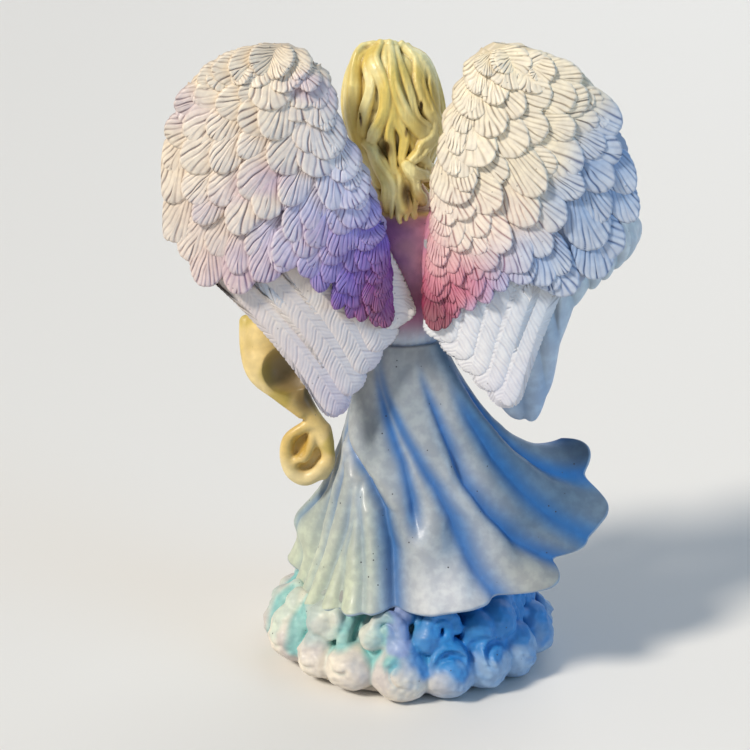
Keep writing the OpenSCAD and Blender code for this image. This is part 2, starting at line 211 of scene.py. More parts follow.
class Clay:
    def __init__(self, low, high, step, sharp):
        self.low, self.step, self.sharp = np.array(low, float), step, sharp
        self.shape = tuple(int(math.ceil((h - l) / step)) + 1 for l, h in zip(low, high))
        self.mass = np.zeros(self.shape, np.float32)
        self.cuts = []

    def window(self, low, high):
        a = np.maximum(((np.asarray(low) - self.low) / self.step).astype(int), 0)
        b = np.minimum(((np.asarray(high) - self.low) / self.step).astype(int) + 2, self.shape)
        if np.any(b <= a):
            return None, None
        axes = [self.low[i] + self.step * np.arange(a[i], b[i]) for i in range(3)]
        points = np.stack(np.meshgrid(*axes, indexing="ij"), -1).astype(np.float32)
        return tuple(slice(a[i], b[i]) for i in range(3)), points

    def put(self, low, high, distance, carve):
        reach = 1.0 if carve else 5 / self.sharp
        where, p = self.window(np.asarray(low) - reach, np.asarray(high) + reach)
        if where is None:
            return
        if carve:
            self.cuts.append((where, distance(p)))
        else:
            self.mass[where] += np.exp(-self.sharp * distance(p))

    def blob(self, centre, radii, turn=0.0, carve=False):
        """An ellipsoid, turned about Z by degrees."""
        c, r = np.asarray(centre, float), np.broadcast_to(np.asarray(radii, float), 3)
        cs, sn = math.cos(math.radians(turn)), math.sin(math.radians(turn))

        def distance(p):
            q = p - c
            q = np.stack([q[..., 0] * cs + q[..., 1] * sn, -q[..., 0] * sn + q[..., 1] * cs, q[..., 2]], -1)
            k = np.linalg.norm(q / r, axis=-1)
            return (k - 1) * k / np.maximum(np.linalg.norm(q / r**2, axis=-1), 1e-6)

        self.put(c - r.max(), c + r.max(), distance, carve)

    def rod(self, a, b, ra, rb, carve=False):
        """A round-ended rod whose radius runs from ra to rb."""
        a, b = np.asarray(a, float), np.asarray(b, float)
        d = b - a
        dd = max(float(d @ d), 1e-9)
        big = max(ra, rb)

        def distance(p):
            t = np.clip((p - a) @ d / dd, 0, 1)
            return np.linalg.norm(p - a - t[..., None] * d, axis=-1) - (ra + (rb - ra) * t)

        self.put(np.minimum(a, b) - big, np.maximum(a, b) + big, distance, carve)

    def strand(self, path, radii, carve=False):
        """A tube along a path; a path of few points is rounded off first."""
        if 2 < len(path) < 12:
            t = np.linspace(0, 1, 4 * (len(path) - 1) + 1)
            path, radii = spline(path, t), spline(np.asarray(radii, float)[:, None], t)[:, 0]
        path, radii = np.asarray(path, float), np.asarray(radii, float)
        reach = 1.0 if carve else 5 / self.sharp
        where, p = self.window(path.min(0) - radii.max() - reach, path.max(0) + radii.max() + reach)
        if where is None:
            return
        near = np.full(p.shape[:3], 9.0, np.float32)
        corner = np.array([s.start for s in where])
        for a, b, ra, rb in zip(path[:-1], path[1:], radii[:-1], radii[1:]):
            wide = max(ra, rb) + reach
            part, _ = self.window(np.minimum(a, b) - wide, np.maximum(a, b) + wide)
            if part is None:
                continue
            inner = tuple(slice(s.start - c, s.stop - c) for s, c in zip(part, corner))
            q, d = p[inner] - a, b - a
            t = np.clip(q @ d / max(float(d @ d), 1e-9), 0, 1)
            distance = np.linalg.norm(q - t[..., None] * d, axis=-1) - (ra + (rb - ra) * t)
            near[inner] = np.minimum(near[inner], distance)
        if carve:
            self.cuts.append((where, near))
        else:
            self.mass[where] += np.exp(-self.sharp * near)

    def mesh(self, soften=2, floor=None):
        """Points, faces and how deep in a recess each point lies, from 0 to 1."""
        with np.errstate(divide="ignore"):
            field = np.minimum(-np.log(self.mass) / self.sharp, 3).astype(np.float32)
        for where, cut in self.cuts:
            field[where] = np.maximum(field[where], -cut)
        if floor is not None:
            z = self.low[2] + self.step * np.arange(self.shape[2])
            field = np.maximum(field, (floor - z)[None, None, :].astype(np.float32))
        edge = np.ones(self.shape, bool)
        edge[1:-1, 1:-1, 1:-1] = False
        field[edge] = np.maximum(field[edge], self.step)
        grid = vdb.FloatGrid(3.0)
        grid.copyFromArray(field)
        points, tris, quads = grid.convertToPolygons(isovalue=0.0)
        blur = np.clip(field, -3, 3)
        for axis in range(3):
            total = np.zeros_like(blur)
            for shift in range(-soften, soften + 1):
                total += np.roll(blur, shift, axis)
            blur = total / (2 * soften + 1)
        cell = np.clip(np.floor(points).astype(int), 0, np.array(self.shape) - 2)
        part = points - cell
        depth = np.zeros(len(points))
        for corner in np.ndindex(2, 2, 2):
            share = np.prod(np.where(corner, part, 1 - part), axis=1)
            at = cell + corner
            depth -= share * blur[at[:, 0], at[:, 1], at[:, 2]] / (soften * self.step)
        faces = [f for f in (quads, tris) if len(f)]
        return points * self.step + self.low, faces, depth


# ---- finishes: painted resin ----

def painted(
    name, rough, coat=0.0, mottle=0.12, mottle_size=2.5, specks=0.0, wash_power=2.4, grain=0.25,
    under_skin=0.0, streak=0.0
):
    """Acrylic paint over cast resin: the paint colour, darker and richer where paint washes and painted shade
    lie, mottled, with pinholes left by the mould."""
    m = bpy.data.materials.new(name)
    m.use_nodes = True
    t = m.node_tree
    t.nodes.clear()

    def node(kind, **values):
        n = t.nodes.new(kind)
        for key, value in values.items():
            if hasattr(n, key):
                setattr(n, key, value)
            else:
                n.inputs[key.replace("_", " ")].default_value = value
        return n

    def link(a, b, socket):
        t.links.new(a, b.inputs[socket])

    def mix(kind, factor, a, b):
        n = node("ShaderNodeMix", data_type="RGBA", blend_type=kind)
        for value, index in ((factor, 0), (a, 6), (b, 7)):
            if hasattr(value, "is_output"):
                link(value, n, index)
            else:
                n.inputs[index].default_value = value
        return n.outputs[2]

    def ramp(source, lo, hi, to_lo=0.0, to_hi=1.0):
        n = node("ShaderNodeMapRange", interpolation_type="SMOOTHSTEP")
        link(source, n, 0)
        for index, value in ((1, lo), (2, hi), (3, to_lo), (4, to_hi)):
            n.inputs[index].default_value = value
        return n.outputs[0]

    shader = node("ShaderNodeBsdfPrincipled")
    out = node("ShaderNodeOutputMaterial")
    link(shader.outputs[0], out, 0)
    where = node("ShaderNodeTexCoord").outputs["Object"]
    paint = node("ShaderNodeAttribute", attribute_name="paint").outputs["Color"]
    wash = node("ShaderNodeAttribute", attribute_name="wash").outputs["Fac"]

    def noise(size, detail=3.0):
        n = node("ShaderNodeTexNoise", Scale=1 / (size * MM), Detail=detail)
        link(where, n, "Vector")
        return n.outputs["Fac"]

    def times(a, b):
        n = node("ShaderNodeMath", operation="MULTIPLY")
        link(a, n, 0)
        if hasattr(b, "is_output"):
            link(b, n, 1)
        else:
            n.inputs[1].default_value = b
        return n.outputs[0]

    patches = noise(mottle_size)
    deep = node("ShaderNodeGamma", Gamma=wash_power)
    link(paint, deep, "Color")
    uneven = times(wash, ramp(patches, 0.3, 0.6, 0.6, 1.0))
    colour = mix("MIX", uneven, paint, deep.outputs[0])
    dull = (1 - mottle, 1 - mottle, 1 - mottle * 0.8, 1)
    colour = mix("MULTIPLY", 1.0, colour, mix("MIX", ramp(patches, 0.35, 0.7), dull, (1, 1, 1, 1)))
    if specks:
        cells = node("ShaderNodeTexVoronoi", Scale=1 / (3.4 * MM))
        link(where, cells, "Vector")
        pin = ramp(cells.outputs["Distance"], 0.05, 0.1, 1.0, 0.0)
        chosen = ramp(noise(9.0, 0.0), 0.5, 0.56)
        colour = mix("MIX", times(times(pin, chosen), specks), colour, (0.03, 0.03, 0.04, 1))
    link(colour, shader, "Base Color")
    link(ramp(noise(mottle_size * 0.6), 0.3, 0.7, rough - 0.06, rough + 0.08), shader, "Roughness")
    for socket, value in (
        ("IOR", 1.5), ("Coat Weight", coat), ("Coat Roughness", 0.16),
        ("Subsurface Weight", under_skin), ("Subsurface Scale", 1.5 * MM),
    ):
        shader.inputs[socket].default_value = value
    if streak:
        stretch = node("ShaderNodeMapping")
        stretch.inputs["Scale"].default_value = (1, 1, 0.14)
        link(where, stretch, 0)
        lines = node("ShaderNodeTexNoise", Scale=1 / (0.9 * MM), Detail=2.0)
        link(stretch.outputs[0], lines, "Vector")
        bump, height = node("ShaderNodeBump", Strength=streak, Distance=0.3 * MM), lines.outputs["Fac"]
    else:
        bump, height = node("ShaderNodeBump", Strength=grain, Distance=0.12 * MM), noise(0.7)
    link(height, bump, "Height")
    link(bump.outputs[0], shader, "Normal")
    return m


feather_paint = painted("feather_paint", 0.55, coat=0.1, mottle=0.14, specks=0.5, wash_power=2.9)
flight_paint = painted("flight_paint", 0.5, coat=0.15, mottle=0.08, specks=0.4, wash_power=2.2)
gown_paint = painted(
    "gown_paint", 0.46, coat=0.1, mottle=0.2, mottle_size=3.2, specks=0.95, wash_power=1.5, grain=0.3
)
hair_paint = painted("hair_paint", 0.45, coat=0.15, mottle=0.12, specks=0.4, wash_power=3.2, streak=0.8)
skin_paint = painted(
    "skin_paint", 0.48, coat=0.08, mottle=0.04, mottle_size=4.0, wash_power=1.6, grain=0.08, under_skin=0.15
)
cloud_paint = painted(
    "cloud_paint", 0.55, coat=0.05, mottle=0.16, mottle_size=3.0, specks=0.9, wash_power=1.5, grain=0.35
)
shawl_paint = painted("shawl_paint", 0.48, coat=0.1, mottle=0.12, specks=0.5, wash_power=3.0)

# ---- wings ----

# The inner and the outer edge of each wing, from its root to its crest, in X and Z
LEAD = {
    LEFT: [
        (4.6, 125), (5.6, 136), (7, 147), (11, 158), (15, 168.5), (19.5, 178), (23, 189), (28, 196.5),
        (35, 200.8),
    ],
    RIGHT: [
        (-4.2, 125), (-5.4, 136), (-6.6, 148), (-7.3, 160), (-9.4, 172), (-12.4, 184), (-16, 192.5),
        (-19.8, 198.6), (-24, 201),
    ],
}
REACH = {
    LEFT: [
        (3.5, 114), (9.5, 117), (17, 120), (25, 127.5), (34, 134.5), (42, 134.5), (48.5, 128.5), (56, 127),
        (64.5, 131.5), (70.5, 140), (73.4, 151), (73.4, 163), (71.5, 174), (67.2, 184), (60.5, 192),
        (51.5, 198), (42.5, 200.6),
    ],
    RIGHT: [
        (-6, 114), (-11, 117.5), (-19, 123.5), (-27, 128.5), (-35, 132.5), (-41.5, 130.5), (-46.5, 126),
        (-52, 128.5), (-58, 133.5), (-63.5, 142), (-66.5, 153), (-65, 164.5), (-61.8, 176.5), (-56, 185.5),
        (-49, 192), (-41, 197), (-32, 200.2),
    ],
}
# Rows of coverts from the flight feathers up: how far out their tips reach, and the piece they belong to
ROWS = [
    (0.985, "greater"), (0.85, "greater"), (0.7, "median"), (0.54, "median"), (0.38, "lesser"),
    (0.22, "lesser"), (0.07, "shoulder"),
]
# The way the coverts point, by the height of their tips: degrees outwards from straight down
FLOW = [(112, 4), (130, 13), (145, 25), (155, 35), (165, 46), (175, 58), (185, 68), (196, 80)]
MIDDLE = {LEFT: np.array([38.0, 156.0]), RIGHT: np.array([-34.0, 156.0])}
# Half the thickness of the plate that the feathers lie on
CORE_HALF = 1.25
# Where feathers begin to be held back at the wings' sides and crest, and how far past it they may still go
SIDE, SIDE_EASE = 71.5, 1.4
CREST, CREST_EASE = 199.5, 1.9


def wing_y(x, z):
    """How far back the middle of a wing's plate lies: it curves back to the sides and forward at the crest."""
    return 17 + 10 * np.sin(np.radians(2.4 * (np.abs(x) - 2))) - 7 * (np.maximum(0, z - 150) / 52) ** 2


def wing_colour(side, verts):
    """Paint on the feathers, and the darker paint lying in their grooves; on the right wing both turn blue
    towards its outer side, which is painted shade lit by a blue light.
    """
    x, z = verts[:, 0], verts[:, 2]
    patch = ripple(verts, 16, 5)
    cloud = ripple(verts, 22, 9)
    if side == LEFT:
        away = np.hypot(x - 4, z - 113) + 4 * patch
        c = stops(away, [
            (5, (0.5, 0.06, 0.36)), (15, (0.52, 0.14, 0.5)), (26, (0.45, 0.27, 0.7)), (37, (0.56, 0.5, 0.84)),
            (48, (0.77, 0.76, 0.9)), (58, (0.9, 0.84, 0.8)), (90, (0.93, 0.86, 0.75)),
        ])
        c = blend(c, srgb(0.72, 0.6, 0.74), 0.55 * smooth(0.2, 1.3, cloud) * smooth(24, 44, away))
        c = coats(
            c,
            ((0.74, 0.54, 0.6), 0.7 * bell((x, 50, 18), (z, 132, 11))),
            ((0.74, 0.8, 0.9), 0.6 * bell((x, 20, 10), (z, 172, 16))),
        )
        ink = stops(away, [
            (10, (0.3, 0.02, 0.26)), (28, (0.22, 0.06, 0.4)), (46, (0.34, 0.22, 0.46)),
            (66, (0.44, 0.34, 0.36)),
        ])
        return c, ink
    away = np.hypot(x + 4, z - 113) + 4 * patch
    c = stops(away, [
        (4, (0.52, 0.08, 0.26)), (12, (0.66, 0.22, 0.38)), (20, (0.82, 0.48, 0.56)), (31, (0.9, 0.72, 0.72)),
        (41, (0.93, 0.86, 0.8)), (54, (0.95, 0.9, 0.8)), (90, (0.95, 0.9, 0.78)),
    ])
    c = blend(c, srgb(0.62, 0.52, 0.74), 0.75 * bell((x, -29, 9), (z, 132, 11)))
    # Painted shade lit by a blue light on the outer side, turned away from the warm light.
    blue_shade = smooth(-4, 16, -x - 33 - (z - 155) * 0.55 + 3 * patch)
    ink = stops(away, [
        (10, (0.34, 0.02, 0.1)), (26, (0.5, 0.1, 0.22)), (42, (0.56, 0.32, 0.36)), (58, (0.5, 0.44, 0.4)),
    ])
    return blend(c, srgb(0.5, 0.66, 0.85), 0.88 * blue_shade), blend(ink, srgb(0.16, 0.28, 0.5), 0.9 * blue_shade)


def feather(
    side, face, tip, lean, length, width, thick, rise, low, fan_out, sweep, seed, ns, nw,
    flat_tip=0.62, curve=0.0, spacing=0.14, cut=0.4, roll=1.1, root_width=0.5, bow=0.0, loose=1.0
):
    """One feather lying on a wing: its verts, quads, tris, the painted shade at its root and edges, and where
    darker ink and dry-brushed paint with a painted highlight go. Its grooves run out and down from its shaft.
    face is +1 behind and -1 in front."""
    r = np.random.default_rng(seed)
    q = np.linspace(0, 1, ns)
    w = np.linspace(-1, 1, nw)
    S, W = np.meshgrid(q + 0.12 * np.sin(np.pi * q) * (1 - q), w, indexing="ij")
    wander = (
        loose * (0.13 * np.sin(9 * S + r.uniform(0, 6)) + 0.07 * np.sin(5 * W + 17 * S + r.uniform(0, 6)))
        + 0.1 * (loose - 1) * np.sin(3 * W - 43 * S + r.uniform(0, 6))
    )
    end = np.clip((S - flat_tip) / (1 - flat_tip), 0, 1)
    half = width / 2 * (root_width + (1 - root_width) * smooth(0, 0.55, S))
    half = half * np.sqrt(np.maximum(1 - end**2.3, 0.0025))
    lateral = np.abs(W) * half / (width / 2)
    lines = (
        sweep * S - fan_out * lateral * 1.45 / (S + 0.45 if flat_tip < 0.8 else 1.45)
        + wander + r.uniform(0, 1) + 0.5 * (W > 0)
    )
    nearest = np.rint(lines)
    strength = r.uniform(0.3, 1.0, 997)[(nearest.astype(int) + 300 * (W > 0)) % 997]
    fade = 0.64 + 0.36 * np.sin(2.4 * nearest + 7 * S + r.uniform(0, 6))
    groove = bell((lines, nearest, spacing)) * np.minimum(1.5 * strength * fade, 1)
    rim = np.minimum((1 - np.abs(W)) * half, (1 - S) * length * 0.9)
    notch = groove * smooth(0.9, 0.0, rim)
    along = (S - 1) * length - 0.5 * notch * smooth(0.6, 1, S)
    across = (half - 0.35 * notch) * W + curve * (1 - S) ** 2 - side * bow * 4 * S * (1 - S)
    d = np.array([side * math.sin(lean), -math.cos(lean)])
    e = np.array([-d[1], d[0]])
    x = tip[0] + along * d[0] + across * e[0]
    z = tip[1] + along * d[1] + across * e[1]
    # Eased in where it would pass the wings' sides or crest
    x = np.sign(x) * np.minimum(np.abs(x), SIDE + SIDE_EASE * np.tanh((np.abs(x) - SIDE) / SIDE_EASE))
    z = np.where(z > CREST, CREST + CREST_EASE * np.tanh((z - CREST) / CREST_EASE), z)
    dome = np.sqrt(np.clip(1 - (1 - np.clip(rim / roll, 0, 1)) ** 2, 0, 1))
    groove = groove * smooth(0.05, 0.3, S)
    shaft = bell((W * half, 0, 0.3)) * smooth(0.1, 0.3, S) * smooth(1.0, 0.85, S)
    tilt = (0.6 + r.uniform(-0.3, 0.4)) * side
    height = (
        low + rise * S**1.3 + thick * dome * (0.55 + 0.45 * S) - cut * groove + 0.12 * shaft + tilt * W * S
        - 0.35 * W**2
    )
    y = wing_y(x, z) + face * (CORE_HALF + height)
    top = np.stack([x, y, z], -1).reshape(-1, 3)
    ids = np.arange(ns * nw).reshape(ns, nw)
    loop = np.concatenate([ids[0, :], ids[1:, -1], ids[-1, -2::-1], ids[-2:0:-1, 0]])
    under = top[loop].copy()
    under[:, 1] = wing_y(under[:, 0], under[:, 2]) + face * (CORE_HALF - 0.3)
    n, m = ns * nw, len(loop)
    k = np.arange(m)
    skirt = np.stack([loop, np.roll(loop, -1), n + (k + 1) % m, n + k], -1)
    verts = np.concatenate([top, under, under.mean(0)[None]])
    quads = np.concatenate([grid_faces(ns, nw, False)[:, ::-1], skirt])
    tris = fan(n + k, n + m)
    if (face > 0) == (side > 0):
        quads, tris = quads[:, ::-1], tris[:, ::-1]
    # Painted shade: darker at the root, under the feather above, and along the edges.
    root_and_edge_shade = np.clip(0.9 * (1 - smooth(0.0, 0.4, S)) + 0.25 * (1 - smooth(0, 0.3, rim)), 0, 1)
    # Lighter on the raised parts towards the tip: dry-brushed paint and a painted highlight.
    ridge = (1 - groove) * smooth(0.35, 0.95, S)
    # The underside's rim: a little painted shade, and the same dry-brushed paint and painted highlight as the
    # raised parts.
    edge, foot = np.full(m + 1, 0.2), np.zeros(m + 1)
    wash, ink = np.append(root_and_edge_shade.ravel(), edge), np.append(groove.ravel(), foot)
    return verts, quads, tris, wash, ink, np.append(ridge.ravel(), foot + 0.8)


class Flock:
    """Feathers gathered into one piece."""

    def __init__(self):
        self.verts, self.quads, self.tris, self.wash, self.paint, self.count = [], [], [], [], [], 0

    def add(self, verts, quads, tris, wash, paint):
        self.verts.append(verts)
        self.quads.append(quads + self.count)
        self.tris.append(tris + self.count)
        self.wash.append(wash)
        self.paint.append(paint)
        self.count += len(verts)

    def piece(self, name, material, slot, replaces):
        cat = np.concatenate
        faces = [cat(self.quads), cat(self.tris)]
        make(name, cat(self.verts), faces, material, cat(self.paint), cat(self.wash), replaces)


def wing_point(side, u, v):
    """A point of the wing's plane, u of the way up and v of the way from the inner edge to the outer."""
    return spline(LEAD[side], u) * (1 - v) + spline(REACH[side], u) * v


def in_wing(side, point):
    """Whether a point in the wing's plane lies inside its outline."""
    t = np.linspace(0, 1, 40)
    ring = np.concatenate([spline(LEAD[side], t), spline(REACH[side], t)[::-1]])
    a, b = ring, np.roll(ring, -1, axis=0)
    spans = (a[:, 1] > point[1]) != (b[:, 1] > point[1])
    rise = np.where(spans, b[:, 1] - a[:, 1], 1)
    cross = a[:, 0] + (point[1] - a[:, 1]) * (b[:, 0] - a[:, 0]) / rise
    return bool(np.sum(spans & (cross > point[0])) % 2)


def covert_row(side, v, start):
    """Places along the wing for one row of coverts, and the size of each."""
    u = np.linspace(0, 1, 400)
    line = wing_point(side, u, v)
    step = np.append(0, np.linalg.norm(np.diff(line, axis=0), axis=1)).cumsum()
    room = np.linalg.norm(wing_point(side, u, 0.0) - wing_point(side, u, 1.0), axis=1)
    size = np.clip(0.52 + 0.48 * smooth(12, 44, room), 0, 1)
    places, at = [], start
    while at < step[-1] - 1.5 - 4.5 * smooth(0.1, 0.4, v):
        k = int(np.searchsorted(step, at))
        places.append((u[k], size[k]))
        at += 9.3 * size[k]
    return places


def settle(side, tip, lean, length, width, follow):
    """Move a feather in, shorten it and turn it along the edge until it lies inside the wing's outline."""
    for turn in range(40):
        d = np.array([side * math.sin(lean), -math.cos(lean)])
        e = np.array([-d[1], d[0]]) * width
        shoulders = (0.3 * length * d + 0.4 * e, 0.3 * length * d - 0.4 * e)
        tip_in = all(in_wing(side, tip - p) for p in (d, *shoulders))
        root_in = all(
            in_wing(side, tip - (back * d + k * across * e))
            for back, across in ((length + 0.8, 0.26), (0.75 * length, 0.36)) for k in (-1, 1)
        )
        if tip_in and root_in:
            break
        if not tip_in or turn > 12:
            tip = tip + 0.5 * (MIDDLE[side] - tip) / np.linalg.norm(MIDDLE[side] - tip)
        if not root_in:
            length = max(length * 0.95, 7.0)
            lean += 0.12 * (follow - lean)
    return tip, lean, length


def add_covert(flock, side, face, tip, lean, length, width, size, shade):
    shape = feather(
        side, face, tip, lean, length, width, rng.uniform(1.2, 1.8),
        rng.uniform(1.8, 3.5) * (0.5 + 0.5 * size), rng.uniform(0.0, 0.3),
        rng.uniform(2.6, 4.0), rng.uniform(0.3, 3.0), int(rng.integers(1 << 30)),
        *((46, 61) if face > 0 else (28, 37)),
        flat_tip=rng.uniform(0.42, 0.66), curve=rng.uniform(-2, 2), root_width=0.42,
    )
    verts = shape[0]
    paint, ink = wing_colour(side, verts)
    # Dry-brushed paint and a painted highlight on the raised parts, stronger away from the wing root.
    dry_brush_and_highlight = 0.12 + 0.3 * smooth(20, 45, np.hypot(verts[:, 0] - 4 * side, verts[:, 2] - 113))
    paint = blend(paint * (1 + rng.uniform(-0.07, 0.03)), srgb(0.95, 0.92, 0.87), shape[5] * dry_brush_and_highlight)
    # Ink in the grooves, and painted shade at the roots and edges in the same dark colour.
    paint = blend(paint, ink, np.clip(0.85 * shape[4] + 0.4 * shade * shape[3], 0, 0.9))
    flock.add(*shape[:3], shape[3] * shade, paint)


def coverts(side, face):
    """One face of a wing: its rows of coverts, then those along its edge, gathered into flocks by piece."""
    flocks = {}
    for row, (v, part) in enumerate(ROWS):
        flock = flocks.setdefault(part if face > 0 else "front", Flock())
        for u, size in covert_row(side, v, 1.2 + 3.4 * (row % 2)):
            u = float(np.clip(u + rng.uniform(-0.008, 0.008), 0, 1))
            tip = wing_point(side, u, v + rng.uniform(-0.045, 0.015)) + rng.uniform(-0.6, 0.6, 2)
            edge = wing_point(side, max(u - 0.02, 0), 0.0) - wing_point(side, min(u + 0.02, 1), 0.0)
            follow = math.atan2(side * edge[0], -edge[1])
            inward = 0.45 if side == LEFT else 0.8
            flow = np.interp(tip[1], *zip(*FLOW))
            flow = flow * (inward + (1 - inward) * smooth(0.1, 0.6, v))
            if side == RIGHT:
                flow += 13 * smooth(124, 150, tip[1])
            flow = math.radians(flow + rng.uniform(-18, 18))
            lean = follow + (flow - follow) * smooth(0.04, 0.36, v)
            grow = rng.uniform(0.84, 1.18)
            length = rng.uniform(19.5, 23) * (0.45 + 0.55 * size) * grow
            width = rng.uniform(11, 13.4) * size * grow
            if face < 0:
                way_in = MIDDLE[side] - tip
                tip = tip + 2.2 * way_in / np.linalg.norm(way_in) * smooth(0.55, 0.85, v)
            tip, lean, length = settle(side, tip, lean, length, width, follow)
            add_covert(flock, side, face, tip, lean, length, width, size, 1.0 if tip[1] < 184 else 0.4)
    # Along the edge: over the crest, down the inner side and down the outer
    edges = ((REACH, "greater", 0.76, 7.8, 0.85), (LEAD, "shoulder", 0.12, 6.2, 0.62))
    for line, part, end, gap, scale in edges:
        flock = flocks[part if face > 0 else "front"]
        path = spline(line[side], np.linspace(0.999, end, 200))
        step = np.append(0, np.linalg.norm(np.diff(path, axis=0), axis=1)).cumsum()
        for at in np.arange(4.0, step[-1], gap):
            k = int(np.searchsorted(step, at))
            way = path[min(k + 6, 199)] - path[max(k - 12, 0)]
            way /= np.linalg.norm(way)
            inward = MIDDLE[side] - path[k]
            inward -= (inward @ way) * way
            width = rng.uniform(11, 12.5) * scale
            tip = path[k] + inward / np.linalg.norm(inward) * (width * 0.5 + 0.3)
            stray = rng.uniform(-7, 3) * (-1 if line is LEAD else 1)
            lean = math.atan2(side * way[0], -way[1]) + math.radians(stray)
            tip, lean, length = settle(side, tip, lean, 19 * scale, width, lean)
            add_covert(flock, side, face, tip, lean, length, width, scale, 0.25)
    return flocks


def wing_core(side):
    """The plate between the feathers of the two faces."""
    nu, nv = 90, 40
    u = np.linspace(0.02 if side == LEFT else 0.055, 0.985, nu)
    s = np.concatenate([np.linspace(0, 1, nv), np.linspace(1, 0, nv)])
    first, last = 0.06 - 0.045 * smooth(0.1, 0.3, u), 0.84 + 0.135 * smooth(0.64, 0.84, u)
    v = first[:, None] + (last - first)[:, None] * s
    lead, reach = spline(LEAD[side], u), spline(REACH[side], u)
    p = lead[:, None] * (1 - v)[..., None] + reach[:, None] * v[..., None]
    half = 2.0 * np.sqrt(np.clip(s / 0.06 + 0.04, 0.04, 1) * np.clip((1 - s) / 0.12 + 0.04, 0.04, 1))
    sign = np.concatenate([np.ones(nv), -np.ones(nv)])
    x, z = p[..., 0], p[..., 1]
    y = wing_y(x, z) + (half * sign)[None]
    verts = np.stack([x, y, z], -1).reshape(-1, 3)
    quads = grid_faces(nu, 2 * nv, True)
    if side > 0:
        quads = quads[:, ::-1]
    verts, caps = close_ends(verts, 2 * nv, False)
    return verts, [quads, caps], blend(*wing_colour(side, verts), 0.2)


# Roots and tips of the outermost and the innermost flight feather, in X and Z
FLIGHT = {
    LEFT: ((58, 138), (19.6, 90.2), (13, 142), (2, 116.5)),
    RIGHT: ((-46, 145), (-28, 93.5), (-16, 144), (-9.5, 112.5)),
}
FLIGHT_COLOURS = {
    LEFT: [(0, (0.74, 0.68, 0.78)), (0.3, (0.84, 0.8, 0.82)), (1, (0.88, 0.85, 0.82))],
    RIGHT: [(0, (0.84, 0.84, 0.9)), (0.4, (0.88, 0.88, 0.9)), (1, (0.84, 0.87, 0.9))],
}


def flight_feathers(side, name):
    """The five long feathers of a wing, on both faces."""
    root_a, tip_a, root_b, tip_b = (np.array(p, float) for p in FLIGHT[side])
    flock = Flock()
    for face in (1, -1):
        for k in range(5):
            s = k / 4
            root, tip = root_a + (root_b - root_a) * s, tip_a + (tip_b - tip_a) * s
            d = tip - root
            length = float(np.linalg.norm(d))
            lean = math.atan2(side * d[0], -d[1])
            shape = feather(
                side, face, tip, lean, length, 11.6, 1.7, 0.3, -1.9 + 0.36 * (k if face > 0 else 4 - k),
                3.4, length / 1.45, 40 + k, 260, 37,
                flat_tip=0.88, spacing=0.2, cut=0.2, roll=3.6, root_width=0.95,
                bow=(3.8 - 0.8 * k) if side == LEFT else (1.5 - 0.3 * k), loose=2.6,
            )
            verts = shape[0]
            far = np.clip((verts[:, 2] - 88) / 45, 0, 1)
            c = stops(far + 0.1 * ripple(verts, 12, 8), FLIGHT_COLOURS[side])
            # Dry-brushed paint and a painted highlight on the raised parts; painted shade at the roots and ink
            # in the grooves.
            c = blend(c, srgb(0.94, 0.93, 0.92), 0.3 * shape[5])
            flock.add(*shape[:3], shape[3] * 0.3, blend(c, srgb(0.55, 0.5, 0.6), 0.24 * shape[4]))
    flock.piece(f"{name}_flight_feathers", flight_paint, "flight_resin", [f"{name}_primaries"])


for side, name in ((LEFT, "left_wing"), (RIGHT, "right_wing")):
    for part, flock in {**coverts(side, 1), **coverts(side, -1)}.items():
        flock.piece(f"{name}_{part}_feathers", feather_paint, "wing_resin", [f"{name}_{part}_coverts"])
    verts, faces, paint = wing_core(side)
    wash = np.full(len(verts), 0.15)
    make(f"{name}_web", verts, faces, feather_paint, paint, wash, [f"{name}_core"])
    flight_feathers(side, name)

# ---- gown ----

HEM = [
    (34, 4, 22), (33, 16, 23), (25, 27, 26), (12, 36, 29), (-7, 39, 31), (-25, 38, 34),
    (-43, 33, 39), (-57, 24, 49), (-60.5, 13, 60.5), (-54, 2, 74), (-47, -10, 66), (-39, -22, 48),
    (-28, -31, 31), (-12, -36, 23), (6, -37, 20), (22, -32, 20), (37, -22, 26), (38, -8, 24),
]
WAIST = 108.0
